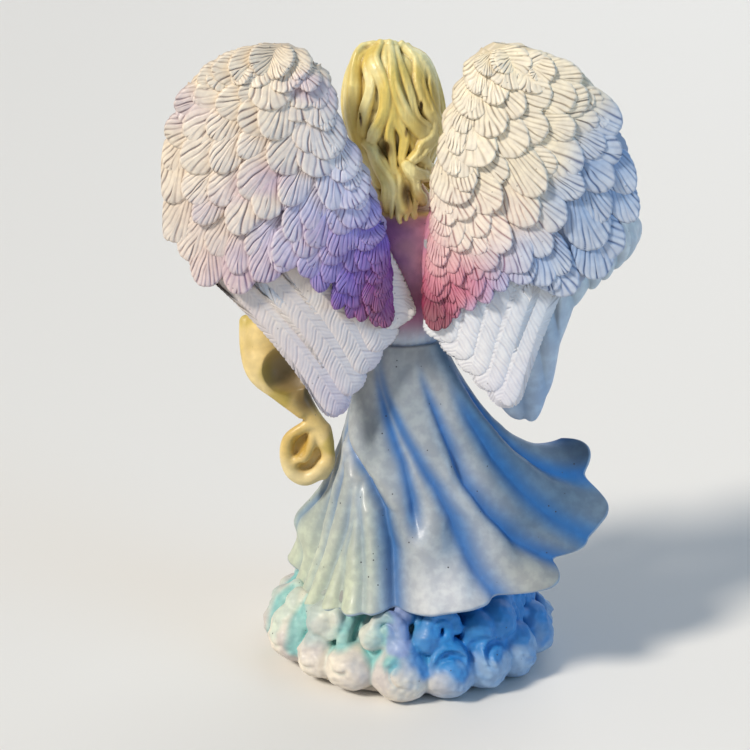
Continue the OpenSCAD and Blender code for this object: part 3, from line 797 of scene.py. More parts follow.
# Creases of the skirt: depth, half width in degrees, and the way each runs as (t, degrees)
CREASES = [
    (1.6, 4, [(0.35, 24), (0.6, 22), (1, 20)]),
    (1.7, 3.2, [(0.48, 41), (0.62, 40), (0.8, 35), (1, 33)]),
    (1.4, 2.8, [(0.55, 46), (0.7, 44), (1, 46)]),
    (1.6, 3, [(0.45, 47), (0.62, 53), (0.8, 57), (1, 58)]),
    (4.2, 4.6, [(0.2, -4), (0.27, 10), (0.34, 33), (0.42, 52), (0.54, 65), (0.7, 69), (1, 69)]),
    (3.2, 4.2, [(0.08, 56), (0.25, 71), (0.37, 79), (0.5, 82), (0.64, 81)]),
    (3.0, 5, [(0.06, 60), (0.14, 67), (0.22, 77), (0.33, 88), (0.47, 98), (0.6, 102), (0.8, 103), (1, 105)]),
    (4.6, 4.4, [(0.1, 108), (0.23, 113), (0.34, 115), (0.5, 116), (0.65, 120), (0.78, 123), (1, 130)]),
    (2.6, 6, [(0.2, 136), (0.4, 137), (0.7, 138), (1, 141)]),
    (3.6, 5, [(0.15, 158), (0.4, 160), (0.7, 163), (1, 166)]),
    (2.6, 6, [(0.2, 182), (1, 186)]),
    (2.6, 5, [(0.1, 203), (0.5, 207), (1, 205)]),
    (2.8, 5, [(0.15, 224), (0.5, 228), (1, 230)]),
    (2.2, 5, [(0.1, 246), (0.6, 252), (1, 251)]),
    (3.0, 5, [(0.2, 268), (0.6, 272), (1, 275)]),
    (2.4, 5, [(0.1, 292), (0.6, 296), (1, 295)]),
    (3.0, 5.5, [(0.15, 315), (0.6, 319), (1, 321)]),
    (2.4, 5, [(0.1, 340), (0.6, 344), (1, 346)]),
    (1.8, 4.5, [(0.2, 2), (0.6, 3), (1, 5)]),
]


def gown_base(u, t):
    """The skirt before its folds: u is the bearing in degrees, t runs from the waist to the hem."""
    r = np.radians(u)
    w = np.stack([2 + 13 * np.cos(r), 2 + 10.5 * np.sin(r), np.full_like(r, WAIST)], -1)
    h = ring_spline(HEM, u)
    k = w * (0.58, 0.58, 0.3) + h * (0.42, 0.42, 0.7)
    k[..., 2] -= 20 * np.exp(-(((u - 186) / 30) ** 2))
    t = t[..., None]
    return (1 - t) ** 2 * w + 2 * t * (1 - t) * k + t * t * h


def gown_relief(u, t):
    """Outward relief of the folds, and how deep in a crease each place lies."""
    relief = np.full(u.shape, 0.9)
    crease = np.zeros(u.shape)
    for deep, width, way in CREASES:
        at = np.interp(t, [q[0] for q in way], [q[1] for q in way])
        start, stop = way[0][0], way[-1][0]
        live = smooth(start - 0.1, start + 0.12, t)
        if stop < 1:
            live = live * (1 - smooth(stop - 0.12, stop + 0.06, t))
        off = (u - at + 180) % 360 - 180
        wide = width * (1.2 - 0.35 * t)
        valley = np.exp(-np.sqrt((off / wide) ** 2 + 0.12) + 0.346) * live
        relief -= deep * (1.6 if 20 < way[-1][1] < 135 else 1.3) * valley * (0.4 + 0.6 * t)
        relief += deep * 0.5 * bell((np.abs(off), 2.6 * wide, 1.6 * wide)) * live * t
        crease = np.maximum(crease, bell((off, 0, wide)) * live * min(1.0, deep / 3))
    return relief, crease


def skirt():
    """The folded skirt with its lining, and the underskirt inside it."""
    nu, nt = 440, 190
    u, t = np.meshgrid(np.arange(nu) * 360 / nu, np.linspace(0, 1, nt), indexing="xy")
    p = gown_base(u, t)
    relief, crease = gown_relief(u, t)
    out = unit(p[..., :2] - np.array([2, 2]))
    relief = relief + 0.3 * ripple(p, 14, 3) + 0.05 * ripple(p, 5, 4)
    relief = relief + 8.5 * bell((u, 344, 13), (t, 0.7, 0.12))
    p[..., :2] += out * (relief * np.clip(t * 2.2, 0, 1))[..., None]
    rings = [p]
    down = np.gradient(p, axis=0)
    around = np.roll(p, -1, axis=1) - np.roll(p, 1, axis=1)
    normal = unit(np.cross(around, down))
    if np.mean(np.sum(normal[..., :2] * out, -1)) < 0:
        normal = -normal
    onward = unit(down[-1])
    # The rolled edge of the cloth, then its lining
    for back, ahead in ((0.3, 0.55), (1.0, 0.75), (1.7, 0.5)):
        rings.append((p[-1] - normal[-1] * back + onward * ahead)[None])
    for row in (1, 5, 12, 22, 34, 48, 64):
        rings.append((p[-row] - normal[-row] * (2.1 + 0.02 * row))[None])
    verts = np.concatenate(rings).reshape(-1, 3)
    rows = len(verts) // nu
    quads = grid_faces(rows, nu, True)[:, ::-1]
    verts, caps = close_ends(verts, nu, False)
    # Paint washes and painted shade in the creases, and painted shade inside the lining.
    wash = np.concatenate([crease.ravel(), np.full((rows - nt) * nu, 0.5)])
    # Cream-green on the left: paint, partly painted warm light on the lit left side.
    cream = smooth(0.25, 0.95, t) * (1 - smooth(52, 74, u)) + smooth(300, 340, u) * smooth(0.3, 0.9, t)
    # The train, turned away from the warm light: painted shade lit by a blue light.
    train = smooth(112, 135, u + 30 * (t - 0.6)) * (1 - smooth(215, 250, u))
    c = stops(0.5 + 0.5 * ripple(p, 26, 6), [(0, (0.56, 0.6, 0.63)), (1, (0.7, 0.72, 0.73))])
    cream = np.clip(cream, 0, 1)
    c = coats(
        c,
        ((0.78, 0.81, 0.71), cream),
        ((0.28, 0.4, 0.5), 0.85 * train),
        ((0.66, 0.66, 0.62), 0.7 * (bell((u, 118, 14)) * smooth(0.7, 0.9, t))),
        # Painted highlight low on the back of the skirt.
        ((0.9, 0.9, 0.9), 0.7 * bell((u, 88, 16), (t, 0.93, 0.2))),
        # Painted shade lit by a blue light in the creases, weaker on the left.
        ((0.05, 0.46, 0.74), 0.8 * np.clip(crease * (1 - 0.55 * cream), 0, 1)),
    )
    paint = np.concatenate([c.reshape(-1, 3), np.tile(srgb(0.62, 0.7, 0.78), ((rows - nt) * nu, 1))])
    paint = np.concatenate([paint, paint[-2:]])
    wash = np.concatenate([wash * 0.45, [0, 0.5]])
    flock = Flock()
    flock.add(verts, quads, caps, wash, paint)
    # The underskirt, seen below the lifted train, in painted shade, deeper and blue in its folds
    n, z = 180, np.linspace(29, 98, 70)[:, None]
    a = turn_of(n)
    fold = np.sin(13 * a + 2 * np.sin(2 * a) + 0.02 * (98 - z))
    reach = 7 + 11.5 * smooth(104, 18, z) + 0.8 * fold * smooth(95, 50, z)
    inner = np.stack([1.5 + 1.12 * reach * np.cos(a), 2 + reach * np.sin(a), z + 0 * a], -1).reshape(-1, 3)
    inner, ends = close_ends(inner, n, True)
    valley = np.append((smooth(0.2, -1, fold) * smooth(98, 60, z)).ravel(), [0, 0])
    shade = blend(np.tile(srgb(0.5, 0.6, 0.68), (len(inner), 1)), srgb(0.1, 0.36, 0.6), 0.8 * valley)
    flock.add(inner, grid_faces(70, n, True), ends, 0.2 + 0.3 * valley, shade)
    flock.piece("gown_folds", gown_paint, "gown_resin", ["gown_skirt"])


skirt()

# Height, centre in X and Y, and half sizes of the bodice's sections
BODICE = [
    (106.5, 2, 2, 11.2, 8.9), (112, 2, 2, 12.2, 10.2), (122, 2, 1.5, 14.5, 12), (132, 2.5, 1, 17, 13),
    (142, 3, 1, 18, 12.8), (149, 3.3, 0.5, 16.5, 10.8), (153, 3.8, 0, 11, 8), (156, 4, 0, 6.8, 6.5),
]


def back_colour(p):
    """The flush of rose and violet between the wings."""
    across = p[..., 0] + 2 * ripple(p, 9, 14)
    c = stops(across, [(-8, (0.86, 0.6, 0.66)), (-1, (0.78, 0.56, 0.68)), (6, (0.6, 0.36, 0.64))])
    return blend(c, srgb(0.62, 0.2, 0.44), 0.7 * smooth(132, 118, p[..., 2] + 2 * ripple(p, 8, 15)))


def bodice():
    """The gathered bodice with its neckline, and the ridges at the wing roots."""
    nu, nt = 260, 150
    t = np.linspace(0, 1, nt)
    rows = spline(BODICE, t)
    A, T = np.meshgrid(turn_of(nu), t, indexing="xy")
    z = rows[:, 0:1] + 0 * A
    deg = np.degrees(A)
    front = smooth(20, 70, np.abs((deg - 270 + 180) % 360 - 180) * -1 + 90)
    x = rows[:, 1:2] + rows[:, 3:4] * np.cos(A)
    y = rows[:, 2:3] + rows[:, 4:5] * np.sin(A)
    gathers = 0.3 * np.sin(deg / 360 * 2 * np.pi * 26 + 2 * np.sin(3 * A))
    gathers = gathers * (1 - smooth(0.0, 0.35, T)) * (0.35 + 0.65 * front)
    cross = np.sin((z - 108) * 0.62 + np.abs(x - 3) * 0.55) * 0.55 * front
    cross = cross * smooth(0.15, 0.35, T) * (1 - smooth(0.8, 0.95, T))
    bust = 2.0 * front * (bell((x, 10, 6), (z, 134, 7)) + bell((x, -4, 6), (z, 134, 7)))
    relief = gathers + cross + bust + 0.15 * ripple(np.stack([x, y, z], -1), 9, 21)
    x = x + np.cos(A) * relief
    y = y + np.sin(A) * relief
    neckline = 148.5 - 8.5 * front * bell((x, 3.5, 6.5)) + 1.0
    skin = smooth(-0.35, 0.35, z - neckline - 1.2)
    trim = bell((z, neckline, 1.1)) * smooth(0.45, 0.6, T)
    y = y + np.sin(A) * (0.7 * trim - 2.6 * skin)
    x = x + np.cos(A) * (0.5 * trim - 2.4 * skin)
    verts = np.stack([x, y, z], -1).reshape(-1, 3)
    quads = grid_faces(nt, nu, True)
    verts, caps = close_ends(verts, nu, True)
    c = np.broadcast_to(srgb(0.88, 0.88, 0.88), x.shape + (3,)).copy()
    c = blend(c, srgb(0.74, 0.79, 0.86), 1 - smooth(0.0, 0.4, T))
    flush = 0.95 * (1 - front) * smooth(109, 118, z) * (1 - 0.5 * smooth(146, 156, z))
    c = blend(c, back_colour(np.stack([x, y, z], -1)), flush)
    c = coats(c, ((0.84, 0.72, 0.42), 0.9 * np.clip(trim, 0, 1)), ((0.93, 0.8, 0.72), skin))
    # Paint washes and painted shade in the gathers and folds.
    wash = np.clip(-(gathers + cross) * 1.2, 0, 1) * (1 - skin)
    paint = np.concatenate([c.reshape(-1, 3), c.reshape(-1, 3)[-2:]])
    flock = Flock()
    flock.add(verts, quads, caps, np.concatenate([wash.ravel(), [0, 0]]), paint)
    # The ridge at the root of each wing, round its pins
    nb, pins = 80, 135
    b = turn_of(nb)
    reach = np.array([
        (6, 6.2, 16.4), (9, 5.4, 15.8), (11, 4.4, 14.9), (13, 3.8, 14.2), (15, 3.5, 13.8), (17.8, 3.4, 13.6),
    ])
    for bx in (10.4, -7.6):
        ridge = [bx + reach[:, 1:2] * np.sin(b), reach[:, :1] + 0 * b, pins + reach[:, 2:] * np.cos(b)]
        ridge = np.stack(ridge, -1).reshape(-1, 3)
        ridge, ends = close_ends(ridge, nb, True, [(bx, reach[0, 0], pins), (bx, reach[-1, 0], pins)])
        flock.add(ridge, grid_faces(6, nb, True), ends, np.full(len(ridge), 0.4), back_colour(ridge))
    flock.piece("bodice_cloth", gown_paint, "bodice_resin", ["gown_bodice"])


bodice()


# ---- sleeves ----

def sleeve_colour(verts):
    c = stops(0.5 + 0.5 * ripple(verts, 22, 31), [(0, (0.74, 0.8, 0.84)), (1, (0.84, 0.87, 0.87))])
    return blend(c, srgb(0.62, 0.74, 0.88), 0.5 * smooth(130, 90, verts[:, 2]))


def cloth_tube(name, centre, side_axis, up_axis, half_side, half_up, relief):
    """A sleeve from rings of points. The last ring is its mouth, which turns in to a hollow."""
    nt, nu = relief.shape
    a = turn_of(nu)
    ca, sa = np.cos(a)[None, :, None], np.sin(a)[None, :, None]
    radius = np.maximum(np.hypot(half_side[:, None] * np.cos(a), half_up[:, None] * np.sin(a)), 1)
    reach = 1 + relief[..., None] / radius[..., None]
    ring = side_axis[:, None] * half_side[:, None, None] * ca + up_axis[:, None] * half_up[:, None, None] * sa
    p = centre[:, None] + reach * ring
    last = p[-1]
    mid = last.mean(0)
    forward = centre[-1] - centre[-4]
    forward = forward / np.linalg.norm(forward)
    rings = [p]
    for scale, depth in ((0.97, 0.35), (0.9, 0.45), (0.83, 0.1), (0.78, -1.2), (0.7, -4), (0.45, -4.5)):
        rings.append((mid + (last - mid) * scale + forward * depth)[None])
    verts = np.concatenate(rings).reshape(-1, 3)
    rows = len(verts) // nu
    quads = grid_faces(rows, nu, True)
    verts, caps = close_ends(verts, nu, True)
    # Painted shade inside the mouth's hollow, and paint washes with painted shade in the folds.
    inside = np.concatenate([np.zeros(nt * nu), np.repeat([0.0, 0.0, 0.2, 0.6, 1.0, 1.0], nu), [0, 1]])
    wash = np.concatenate([np.clip(-relief * 0.55, 0, 1).ravel(), np.zeros(len(verts) - nt * nu)])
    paint, wash = sleeve_colour(verts), np.clip(wash + 0.9 * inside, 0, 1)
    make(f"{name}_cloth", verts, [quads, caps], gown_paint, paint, wash, [name])


# Middle in X and Y, top, lowest point, half thickness and turn of the right sleeve's sections
RIGHT_SLEEVE = [
    (-8, 0, 149, 128, 7, 0), (-14, 0, 150.5, 120, 7.5, 0), (-21, 1, 151.5, 104, 7, 0),
    (-28, 2.5, 151.5, 88, 6.6, 0), (-35, 4, 151, 81.8, 6, 0), (-41, 5, 150.6, 82.5, 6, 0),
    (-45.5, 5, 150.3, 93, 6, 0), (-48.5, 4.8, 150, 110, 6, 3), (-53, 4.4, 149.6, 120.5, 6, 8),
    (-58, 3.4, 149, 125.5, 5.9, 17), (-62.4, 1.4, 148.4, 129, 5.8, 30), (-66, -2.4, 147.8, 131.5, 5.6, 50),
    (-67.6, -9, 147.3, 132, 5.9, 76),
]
LEFT_SLEEVE = [
    (10, 0, 149, 6.5), (15, 0, 146, 7), (20, 0, 138, 7.5), (25, -1, 128, 7.5), (27.5, -7, 121, 8),
    (29, -15, 120, 9.5), (30, -22.5, 121, 10.8),
]


def right_sleeve():
    """The raised sleeve, which hangs deep and is pleated."""
    nt, nu = 230, 200
    t = np.linspace(0, 1, nt)
    s = spline(RIGHT_SLEEVE, t)
    turn = np.radians(s[:, 5])
    centre = np.stack([s[:, 0], s[:, 1], (s[:, 2] + s[:, 3]) / 2], -1)
    out = np.stack([-np.sin(turn), np.cos(turn), 0 * turn], -1)
    up = np.tile([0.0, 0.0, 1.0], (nt, 1))
    a = turn_of(nu)
    drop = (1 - np.sin(a))[None, :] / 2
    lane = t[:, None] * 46 - 7 * drop * np.sin(np.pi * t)[:, None]
    pleat = -np.exp(-np.sqrt((((lane % 4.2) - 2.1) / 0.85) ** 2 + 0.1) + 0.316) + 0.35
    relief = 1.7 * pleat * smooth(0.1, 0.5, drop) * smooth(0.05, 0.2, t)[:, None]
    relief = relief * (1 - 0.6 * smooth(0.86, 0.97, t)[:, None])
    wrinkle = 0.6 * np.sin(t[:, None] * 38 + 3 * np.sin(a)[None]) * (1 - smooth(0.2, 0.6, drop))
    x, y, z = centre.T[..., None]
    p = np.stack([x + 0 * a, y + 0 * a, z + 8 * np.sin(a)], -1)
    relief = relief + wrinkle + 0.3 * ripple(p, 10, 44)
    relief = relief - 1.21 * smooth(0.45, 1.0, drop) * np.abs(np.cos(a))[None]
    cloth_tube("right_sleeve", centre, out, up, s[:, 4], (s[:, 2] - s[:, 3]) / 2, relief)


def left_sleeve():
    """The sleeve round the forearm that carries the shawl."""
    nt, nu = 170, 150
    t = np.linspace(0, 1, nt)
    s = spline(LEFT_SLEEVE, t)
    along = unit(np.gradient(s[:, :3], axis=0))
    level = unit(np.cross(along, [0, 0, 1.0]))
    A, T = np.meshgrid(turn_of(nu), t)
    elbow = bell((T, 0.6, 0.16))
    relief = 0.75 * np.sin(T * 44 + 1.6 * np.sin(A)) * (0.35 + elbow) * smooth(0.05, 0.2, T)
    relief += (
        0.7 * np.sin(9 * A + 3 * T) * smooth(0.72, 0.95, T)
        + 0.25 * ripple(np.stack([A * 8, T * 60, 0 * A], -1), 9, 45)
    )
    cloth_tube("left_sleeve", s[:, :3], -level, np.cross(level, along), s[:, 3], s[:, 3], relief)


right_sleeve()
left_sleeve()

# ---- shawl ----

def shawl():
    """The yellow cloth: over the forearm, down to a billow with a hollow, and to a curl below."""
    clay = Clay((12, -24, 52), (57, 12, 138), 0.36, 1.5)
    over = [
        (18.6, -13, 122.5), (23.5, -13, 129.6), (31.5, -13, 131.4), (38.5, -12, 127.4), (43.5, -9, 121),
        (45.5, -5, 114)
    ]
    for lane, grow in ((-5.5, 2.3), (-2, 2.7), (2, 2.6), (5, 2.2)):
        clay.strand([(x, y + lane, z + 0.3 * lane) for x, y, z in over], [grow] * 6)
    # Upper billow: cloth round a hollow that opens backwards and inwards
    clay.blob((45, -2, 108), (7.6, 7.4, 10))
    clay.blob((43.5, 0, 99), (9.2, 7.2, 8.5))
    clay.blob((38, 1, 92), (6.2, 5, 6.6))
    rim = [(52, -2, 112), (51.2, 2, 103), (48.2, 4.5, 95.5), (41.4, 4.6, 89.4), (34.4, 4, 83.2)]
    clay.strand(rim, [2.1, 2.3, 2.3, 1.9, 1.6])
    clay.strand([(36, 1, 89), (31, 2, 82), (28, 2.2, 77.5), (27, 2, 73)], [3.8, 2.7, 2.4, 2.4])
    # Lower curl: a lobe turned over on itself, with an open mouth
    clay.strand([(27, 2, 77), (26, 2.5, 71), (25.6, 2.5, 66), (27.4, 2, 61.8)], [2.2, 2.2, 2.1, 2.0])
    curl = [
        (30, 2.6, 79.6), (34.4, 3.2, 77.6), (38.6, 3.2, 73.8), (39.4, 2.8, 68), (37.6, 2.4, 62.8),
        (34, 2.6, 60.4), (30.4, 3, 61.6), (27.6, 3, 65),
    ]
    clay.strand(curl, [1.7, 1.8, 2.0, 2.2, 2.6, 2.6, 2.4, 2.1])
    clay.blob((33.4, -0.8, 69), (6.0, 3.6, 8.6))
    lip = [(36.8, 3.4, 66.2), (33.6, 4.4, 68.2), (31.4, 3.8, 72), (30.6, 2.8, 76)]
    clay.strand(lip, [1.5, 1.7, 1.5, 1.3])
    clay.blob((37, 8.5, 98.4), (9.4, 8.4, 9), carve=True)
    clay.rod((36.4, 8.6, 93.5), (31.6, 8, 86), 5.2, 3.0, carve=True)
    clay.blob((34.8, 7.4, 72.4), (3.0, 4.4, 4.4), 20, carve=True)
    clay.blob((34.2, 7.2, 65.2), (3.0, 3.4, 1.9), carve=True)
    verts, faces, depth = clay.mesh(4)
    # Painted shade in the billow's hollow and throat, and in the curl's mouth and slit.
    hollow = spot(verts, (35.4, 3.0, 97.5), (9.6, 5.8, 9.6), 4)
    throat = spot(verts, (32.6, 2.5, 88.4), (4.6, 5, 6), 4)
    mouth = spot(verts, (34.8, 3, 72.6), (3.8, 4, 5), 3)
    slit = spot(verts, (34.2, 3, 65.2), (3.6, 3.4, 2.4), 3)
    hollow_shade, curl_shade = np.maximum(hollow, throat), np.maximum(mouth, slit)
    c = coats(
        stops(0.5 + 0.5 * ripple(verts, 14, 51), [(0, (0.85, 0.73, 0.44)), (1, (0.93, 0.84, 0.6))]),
        ((0.72, 0.64, 0.2), 0.6 * smooth(0.1, 1.1, ripple(verts, 15, 52))),
        ((0.93, 0.86, 0.66), 0.7 * smooth(70, 62, verts[:, 2])),
        ((0.34, 0.24, 0.04), 0.85 * hollow_shade),
        ((0.7, 0.54, 0.1), 0.75 * curl_shade),
    )
    # Paint washes and painted shade in the recesses, and more painted shade in the hollow.
    wash = np.clip(depth * 1.1 - 0.1, 0, 1) * 0.7 + 0.3 * hollow_shade
    make("shawl_cloth", verts, faces, shawl_paint, c, wash, ["shawl"])


shawl()

# ---- cloud base ----

# Puffs round the foot of the cloud: bearing in degrees, reach, height and radius
FOOT = [
    (88, 37, 8.4, 10.2), (64, 37.5, 8.6, 9), (45, 38.5, 8, 8), (24, 39.5, 10, 9), (2, 39.5, 8.6, 9.4),
    (-23, 39, 8.8, 9.8), (-49, 38, 8, 9.6), (-74, 37.5, 8.4, 9.6), (-99, 37.5, 9, 9.6), (-124, 38.5, 8, 9.8),
    (-150, 40, 9, 9.6), (-175, 41.5, 8.4, 9),
    (165, 42, 9.6, 8.4), (147, 41.5, 8, 8.2), (129, 39.5, 9, 8.8), (110, 37.5, 8, 10),
]
# Streams of cloud that run down from under the hem: middle in X and Y, top and foot
STREAMS = [
    (9, 33, 27, 11), (-5, 34, 28, 12), (-12, 33, 27, 12), (19, 30, 26, 10),
    (33, 21, 26, 9), (41, 6, 23, 7), (-22, 31, 27, 12), (38, -10, 24, 8),
]


def cloud():
    """The cloud bank: puffs with scored curls, wisps between them, and streams from under the hem."""
    clay = Clay((-53, -48, -2), (51, 49, 42), 0.5, 2.2)
    r = np.random.default_rng(23)
    clay.blob((-1, 0, 3), (42, 37, 33))
    for bearing, reach, height, size in FOOT:
        a = math.radians(bearing)
        c = np.array([reach * math.cos(a), (reach - 1) * math.sin(a), height])
        clay.blob(c, (size, size, size * r.uniform(0.8, 0.95)), bearing)
        side = r.choice([-1, 1])
        if r.random() < 0.7:
            b = a + side * 0.2
            clay.blob(
                (c[0] + 0.1 * size * math.cos(b), c[1] + 0.1 * size * math.sin(b), height + size * 0.6),
                size * r.uniform(0.6, 0.75)
            )
        # A curl scored into the face of the puff
        t = np.linspace(0, 1, 16)
        face = np.array([math.cos(a), math.sin(a), 0.45]) / math.hypot(1, 0.45)
        level = np.array([-math.sin(a), math.cos(a), 0.0]) * side
        rise = np.array([-0.41 * math.cos(a), -0.41 * math.sin(a), 0.91])
        turn, open_by = r.uniform(0, 6.3), r.uniform(2.2, 4.0)
        way = (open_by * t + turn)[:, None]
        arc = (r.uniform(0.55, 0.75) - 0.35 * t)[:, None] * (np.cos(way) * level + np.sin(way) * rise)
        arc = c + size * (arc + np.sqrt(1 - np.sum(arc**2, 1))[:, None] * face)
        clay.strand(arc + 0.9 * face, 0.5 + 1.0 * np.sin(np.pi * t) ** 0.5, carve=True)
        rim = c + (arc - c) * 0.86
        clay.strand(rim + 0.25 * size * rise, 0.6 + 1.3 * np.sin(np.pi * t) ** 0.5)
    for count, reach, height, size in ((15, 36.5, 19, 5.4), (12, 30, 27, 5.4), (9, 23, 32, 5)):
        for i in range(count):
            a = 2 * math.pi * (i + r.uniform(-0.3, 0.3)) / count
            s = size * r.uniform(0.75, 1.25)
            clay.blob(
                ((reach + 1.5) * math.cos(a) - 1, reach * math.sin(a), height + r.uniform(-2, 2)),
                (s, s, s * r.uniform(0.8, 1.2))
            )
    # Curled wisps between the puffs
    for bearing in [*range(150, 236, 14), 78, 104, 125, 52, 28, 4, -30, -60, -90, -120]:
        a = math.radians(bearing + r.uniform(-4, 4))
        out = np.array([math.cos(a), math.sin(a), 0.35])
        along = np.array([-math.sin(a), math.cos(a), 0])
        up = np.array([-0.3 * math.cos(a), -0.3 * math.sin(a), 1])
        middle = np.array([38.5 * math.cos(a) - 1, 36.5 * math.sin(a), r.uniform(17, 23)])
        turns, way_round = r.uniform(1.1, 1.6), r.choice([-1, 1])
        t = np.linspace(0, 1, 22)[:, None]
        bend, shrink = 2 * np.pi * turns * t, 1 - 0.72 * t
        swirl = (
            middle + 5.2 * shrink * np.cos(bend) * along * way_round + 5.8 * shrink * np.sin(bend) * up
            + 1.4 * t * out
        )
        clay.strand(swirl, 2.3 - 0.9 * t[:, 0])
    # The fold of cloud that hangs from under the hem, and streams beside it
    clay.strand([(2.6, 29, 26), (2.4, 33, 23.5), (2.2, 38, 17), (3.4, 40, 12)], [3.0, 3.2, 3.2, 4.2])
    streams = []
    for x, y, top, low in STREAMS:
        n = math.hypot(x, y)
        start, half_way = (x * 0.85, y * 0.85, top - 2.5), (x, y, (top + low) / 2 + 1.5)
        streams.append([start, half_way, (x * (1 + 3 / n), y * (1 + 3 / n), low)])
        clay.strand(streams[-1], [2.2, 2.2, 1.8])
    verts, faces, depth = clay.mesh(3, floor=0.9)
    creased = np.clip(depth * 1.1 + 0.02, 0, 1)
    above = smooth(0.9, 3, verts[:, 2])[:, None]
    lumps = (0.45 * ripple(verts, 7, 67) + 0.15 * ripple(verts, 3, 68) - 0.2)[:, None]
    verts[:, :2] += unit(verts[:, :2], 1) * above * lumps
    x, y, height = verts.T
    c = stops(0.5 + 0.5 * ripple(verts, 16, 61), [(0, (0.8, 0.77, 0.75)), (1, (0.93, 0.89, 0.81))])
    swash = ripple(verts, 13, 62)
    turquoise = (
        1.2 * smooth(0.06, 0.45, creased)
        + smooth(11, 19, height + 3 * swash) * (0.55 + 0.5 * smooth(-0.4, 0.6, swash))
    )
    turquoise = np.clip(turquoise, 0, 1) * (1 - 0.6 * smooth(2, 12, x) * (1 - smooth(0.12, 0.45, creased)))
    hue = np.broadcast_to(srgb(0.36, 0.74, 0.74), c.shape)
    # Bluer towards the right: painted blue light on the side away from the warm light.
    hue = blend(hue, srgb(0.06, 0.46, 0.74), smooth(10, -16, x + 5 * ripple(verts, 18, 63)))
    stream = smooth(5.0, 2.2, np.min([to_line(verts, line) for line in streams], axis=0) + 0.8 * swash)
    # Painted shade lit by a blue light on the right side, above the foot.
    deep_blue_shade = smooth(6, -10, x + 4 * swash) * smooth(8, 15, height + 3 * ripple(verts, 9, 66))
    deep_blue_shade = deep_blue_shade * smooth(-20, 15, y)
    stem = smooth(4.6, 3.2, to_line(verts, [(2.6, 30, 30), (2.4, 34.5, 25), (2.2, 39, 18)]))
    # Darker in the creases and towards the foot.
    low_crease_darkening = 0.55 * smooth(7, 2, height) * smooth(0.05, 0.4, creased + 0.2 * smooth(4, 1, height))
    c = blend(c, blend(hue, srgb(0.66, 0.84, 0.78), 0.5 * smooth(8, 34, x)), 0.88 * turquoise)
    c = coats(
        blend(c, hue, 0.7 * stream),
        # Blue-grey painted shade on the right side.
        ((0.6, 0.7, 0.8), 0.7 * smooth(-2, -22, x + 5 * swash)),
        ((0.0, 0.5, 0.78), 0.88 * deep_blue_shade),
        # More painted blue light on the right side.
        ((0.36, 0.6, 0.8), 0.5 * smooth(4, -26, x) * smooth(-30, 10, y) * (1 - deep_blue_shade)),
        # Painted shade under the hem.
        ((0.36, 0.34, 0.36), 0.6 * smooth(24, 31, height) * smooth(-6, 6, x)),
        ((0.5, 0.46, 0.4), low_crease_darkening),
        ((0.56, 0.62, 0.8), 0.8 * stem),
    )
    # Paint washes and painted shade in the creases.
    make("cloud_puffs", verts, faces, cloud_paint, c, creased * 0.5, ["cloud_base"])


cloud()

# ---- head, hair and hands ----

HEAD = np.array([5.0, -2.0, 181.5])
FACE_TURN, TILT, NOD = (math.radians(a) for a in (-4, 3, 7))


def head_point(x, forward, z):
    """A point given from the head's centre: to its left, forward and up."""

    def turned(a, b, angle):
        return a * math.cos(angle) + b * math.sin(angle), -a * math.sin(angle) + b * math.cos(angle)

    x, z = turned(x, z, TILT)
    forward, z = turned(forward, z, NOD)
    x, y = turned(x, forward, FACE_TURN)
    return HEAD + (x, -y, z)


